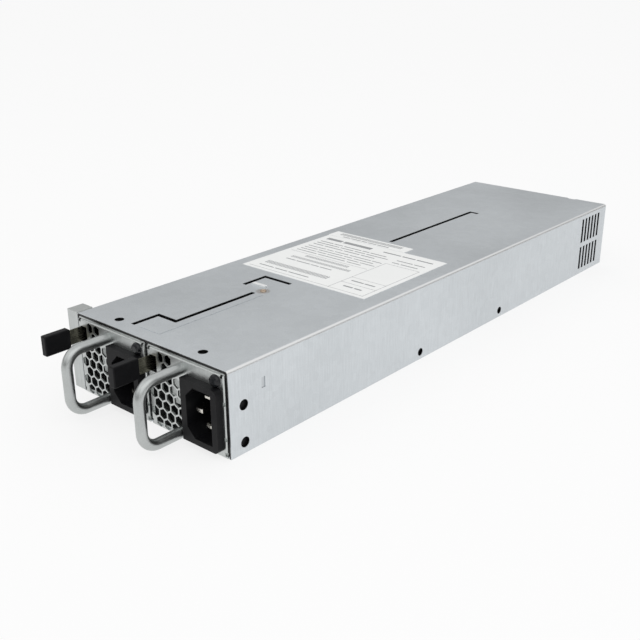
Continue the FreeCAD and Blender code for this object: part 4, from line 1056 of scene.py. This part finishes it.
@dataclass
class Studio:
    """Pale floor, soft light and the camera."""

    lens: float = 51.36
    sensor: float = 36.0
    eye: Spot = (0.302766, -0.403007, 0.198680)
    azimuth: float = 41.32
    elevation: float = 21.84
    roll: float = -0.36
    horizon: float = 0.3
    overhead: float = 0.88
    glow: tuple[float, float] = (0.15, 0.6)
    whiten: float = 0.78
    floor_reach: float = 60.0

    def build(self) -> None:
        """Sets the stage."""
        scene = bpy.context.scene
        scene.view_settings.view_transform = "Standard"
        self.camera()
        self.floor()
        self.world()
        for lamp in LAMPS:
            self.lamp(lamp)
        log.info("set the stage")

    def camera(self) -> None:
        """Places the camera."""
        azimuth, elevation, roll = (math.radians(v) for v in (self.azimuth, self.elevation, self.roll))
        back = Vector((math.sin(azimuth) * math.cos(elevation), -math.cos(azimuth) * math.cos(elevation),
                       math.sin(elevation)))
        right = Vector((math.cos(azimuth), math.sin(azimuth), 0.0))
        up = back.cross(right)
        turned = math.cos(roll) * right + math.sin(roll) * up
        up = math.cos(roll) * up - math.sin(roll) * right
        right = turned
        data = bpy.data.cameras.new("camera")
        data.lens = self.lens
        data.sensor_width = self.sensor
        data.clip_start = 0.01
        holder = bpy.data.objects.new("camera", data)
        holder.matrix_world = Matrix((
            (right.x, up.x, back.x, self.eye[0]), (right.y, up.y, back.y, self.eye[1]),
            (right.z, up.z, back.z, self.eye[2]), (0.0, 0.0, 0.0, 1.0),
        ))
        bpy.context.scene.collection.objects.link(holder)
        bpy.context.scene.camera = holder

    def floor(self) -> None:
        """Lays a pale floor that keeps the shadow."""
        mesh = bmesh.new()
        reach = self.floor_reach
        drop = -0.0002
        corners = [(-reach, -reach), (reach, -reach), (reach, reach), (-reach, reach)]
        mesh.faces.new([mesh.verts.new((x, y, drop)) for x, y in corners])
        data = bpy.data.meshes.new("floor")
        mesh.to_mesh(data)
        mesh.free()
        floor = bpy.data.objects.new("floor", data)
        bpy.context.scene.collection.objects.link(floor)
        nodes = Nodes.material("pale_floor")
        mottle = nodes.noise(3.0, 2.0)
        colour = nodes.mix(mottle, (0.93, 0.93, 0.93), (0.95, 0.95, 0.95))
        lit = nodes.principled(Base_Color=colour, Roughness=0.9, Specular_IOR_Level=0.0)
        white = nodes.add("ShaderNodeEmission", {}, {"Color": (1.0, 1.0, 1.0), "Strength": 1.0})["Emission"]
        share = nodes.shown() * self.whiten
        both = nodes.add("ShaderNodeMixShader", {}, {0: share, 1: lit, 2: white})["Shader"]
        nodes.add("ShaderNodeOutputMaterial", {}, {"Surface": both})
        dress(floor, nodes.owner)

    def world(self) -> None:
        """Lights the scene from all around, and most from overhead."""
        world = bpy.data.worlds.new("studio")
        bpy.context.scene.world = world
        nodes = Nodes(world)
        way = nodes.add("ShaderNodeTexCoord", {}, {})["Generated"]
        height = nodes.add("ShaderNodeSeparateXYZ", {}, {"Vector": way})["Z"]
        strength = height.ramp(*self.glow) * (self.overhead - self.horizon) + self.horizon
        sockets = {"Color": (1.0, 1.0, 1.0), "Strength": strength}
        shade = nodes.add("ShaderNodeBackground", {}, sockets)["Background"]
        nodes.add("ShaderNodeOutputWorld", {}, {"Surface": shade})

    @staticmethod
    def lamp(lamp: SoftLamp) -> None:
        """Hangs a soft square lamp that points at the power supply.

        Args:
            lamp: the lamp.
        """
        data = bpy.data.lights.new(lamp.name, "AREA")
        data.size = lamp.side
        data.energy = lamp.watts
        holder = bpy.data.objects.new(lamp.name, data)
        holder.location = lamp.spot
        holder.rotation_euler = (-Vector(lamp.spot)).to_track_quat("-Z", "Y").to_euler()
        bpy.context.scene.collection.objects.link(holder)


# ---------------------------------------------------------------- the whole

@dataclass
class PowerSupply:
    """The cage and its two modules."""

    def finishes(self) -> dict[str, bpy.types.Material]:
        """Makes the finish of each material slot.

        Returns:
            Materials by slot.
        """
        kinds = {
            "zinc_steel": ZincSheet("zinc_steel", ZINC_DARK, ZINC_LIGHT, 0.40),
            "module_steel": ZincSheet("module_steel", (0.46, 0.48, 0.475), (0.64, 0.66, 0.65), 0.36),
            "handle_steel": BrushedMetal("handle_steel", (0.42, 0.44, 0.435), (0.56, 0.58, 0.575), 0.33),
            "spring_steel": BrushedMetal("spring_steel", (0.10, 0.095, 0.07), (0.26, 0.25, 0.20), 0.26,
                                         Grain.LENGTHWISE),
            "pin_metal": BrushedMetal("pin_metal", (0.62, 0.60, 0.55), (0.82, 0.80, 0.74), 0.22),
            "screw_steel": BrushedMetal("screw_steel", (0.38, 0.38, 0.37), (0.58, 0.58, 0.57), 0.30),
            "sink_metal": BrushedMetal("sink_metal", (0.60, 0.61, 0.62), (0.78, 0.79, 0.80), 0.36,
                                       Grain.LENGTHWISE),
            "rivet_metal": BrushedMetal("rivet_metal", (0.30, 0.22, 0.16), (0.58, 0.48, 0.38), 0.34),
            "black_plastic": Moulding("black_plastic", (0.006, 0.006, 0.007), (0.013, 0.013, 0.014), 0.46),
            "lamp_plastic": Moulding("lamp_plastic", (0.008, 0.009, 0.011), (0.014, 0.016, 0.019), 0.16,
                                     coat=0.35, depth=0.000005),
            "header_plastic": Moulding("header_plastic", (0.70, 0.65, 0.50), (0.62, 0.57, 0.43), 0.48,
                                       gloss=0.5),
            "edging_rubber": Moulding("edging_rubber", (0.014, 0.014, 0.014), (0.035, 0.035, 0.034), 0.68),
            "label_paper": Film("label_paper", (0.97, 0.98, 0.97), (0.93, 0.94, 0.93)),
            "board_green": CircuitBoard("board_green"),
        }
        return {slot: finish.build() for slot, finish in kinds.items()}

    def dress_nodes(self) -> None:
        """Gives every node of the frame its finish."""
        made = self.finishes()
        slots = {row["node"]: row["material_slot"] for row in frame["record"]["subparts"]}
        for node, piece in frame["nodes"].items():
            slot = slots[node]
            own = slot not in made or node in ("cage_cover", "bay_divider", "mounting_ear", "divider_hook")
            dress(piece, self.own_finish(node, slot) if own else made[slot])
        log.info("dressed %d nodes", len(slots))
        ink = Film("label_ink", (0.36, 0.37, 0.38), (0.28, 0.29, 0.30)).build()
        PrintedLabel("rating_label", RATING_ROWS, RATING_RULES).build(ink)
        PrintedLabel("serial_label", SERIAL_ROWS).build(ink)
        RivetButton().build(made["rivet_metal"])
        # A black sheet under the cover paints shade into its slots and holes.
        SlotShadeSheet().build(made["black_plastic"])
        CrossScrews("cage_screws", "cage", Vector((0, 0, 1)), 0.55).build(made["screw_steel"])
        CrossScrews("backplane_screws", "cage", Vector((0, 1, 0)), 0.5, flat=False).build(made["screw_steel"])
        for side in Side:
            body = f"module_{side.value}"
            PinBlades(side).build(made["pin_metal"])
            CrossScrews(f"module_screws_{side.value}", body, None, 0.5).build(made["screw_steel"])
            CrossScrews(f"handle_screws_{side.value}", body, Vector((0, -1, 0)), 0.55, flat=False).build(
                made["screw_steel"])

    def own_finish(self, node: str, slot: str) -> bpy.types.Material:
        """Makes a finish that depends on where its node lies.

        Args:
            node: the node's name.
            slot: its material slot.

        Returns:
            The finish.
        """
        low, high = node_box(node)
        middle = ((low.x + high.x) / 2, (low.y + high.y) / 2)
        if node == "cage_cover":
            rivet_low, rivet_high = node_box("divider_rivet")
            spot = ((rivet_low.x + rivet_high.x) / 2, (rivet_low.y + rivet_high.y) / 2)
            return ZincSheet(node, ZINC_DARK, ZINC_LIGHT, 0.40, high.x, high.z, spot).build()
        if node == "mounting_ear":
            # Painted shade: the ear's zinc is a darker copy of the cage's.
            return ZincSheet(node, (0.46, 0.48, 0.475), (0.68, 0.70, 0.69), 0.42).build()
        if node == "divider_hook":
            # Painted highlight: the hook is painted near white for the glint on its bent edge.
            return ZincSheet(node, (0.93, 0.94, 0.94), (0.97, 0.98, 0.98), 0.58).build()
        if node == "bay_divider":
            # The divider's front edge is painted near black as shade in the gap between the modules.
            return ZincSheet(node, ZINC_DARK, ZINC_LIGHT, 0.40, front_shade_line=low.y + 0.05).build()
        if slot == "can_sleeve":
            return Sleeve(node, (0.012, 0.018, 0.045), (0.45, 0.47, 0.50), middle[0], high.z).build()
        if slot == "winding":
            return WoundCore(node, (0.22, 0.08, 0.03), (0.72, 0.34, 0.16), 0.0, middle, turns=34).build()
        return WoundCore(node, (0.05, 0.05, 0.055), (0.62, 0.42, 0.08), 12.5, middle).build()


def main() -> None:
    """Dresses the power supply and sets the stage."""
    logging.basicConfig(level=logging.INFO, format="%(message)s")
    PowerSupply().dress_nodes()
    Studio().build()


if __name__ == "__main__":
    main()
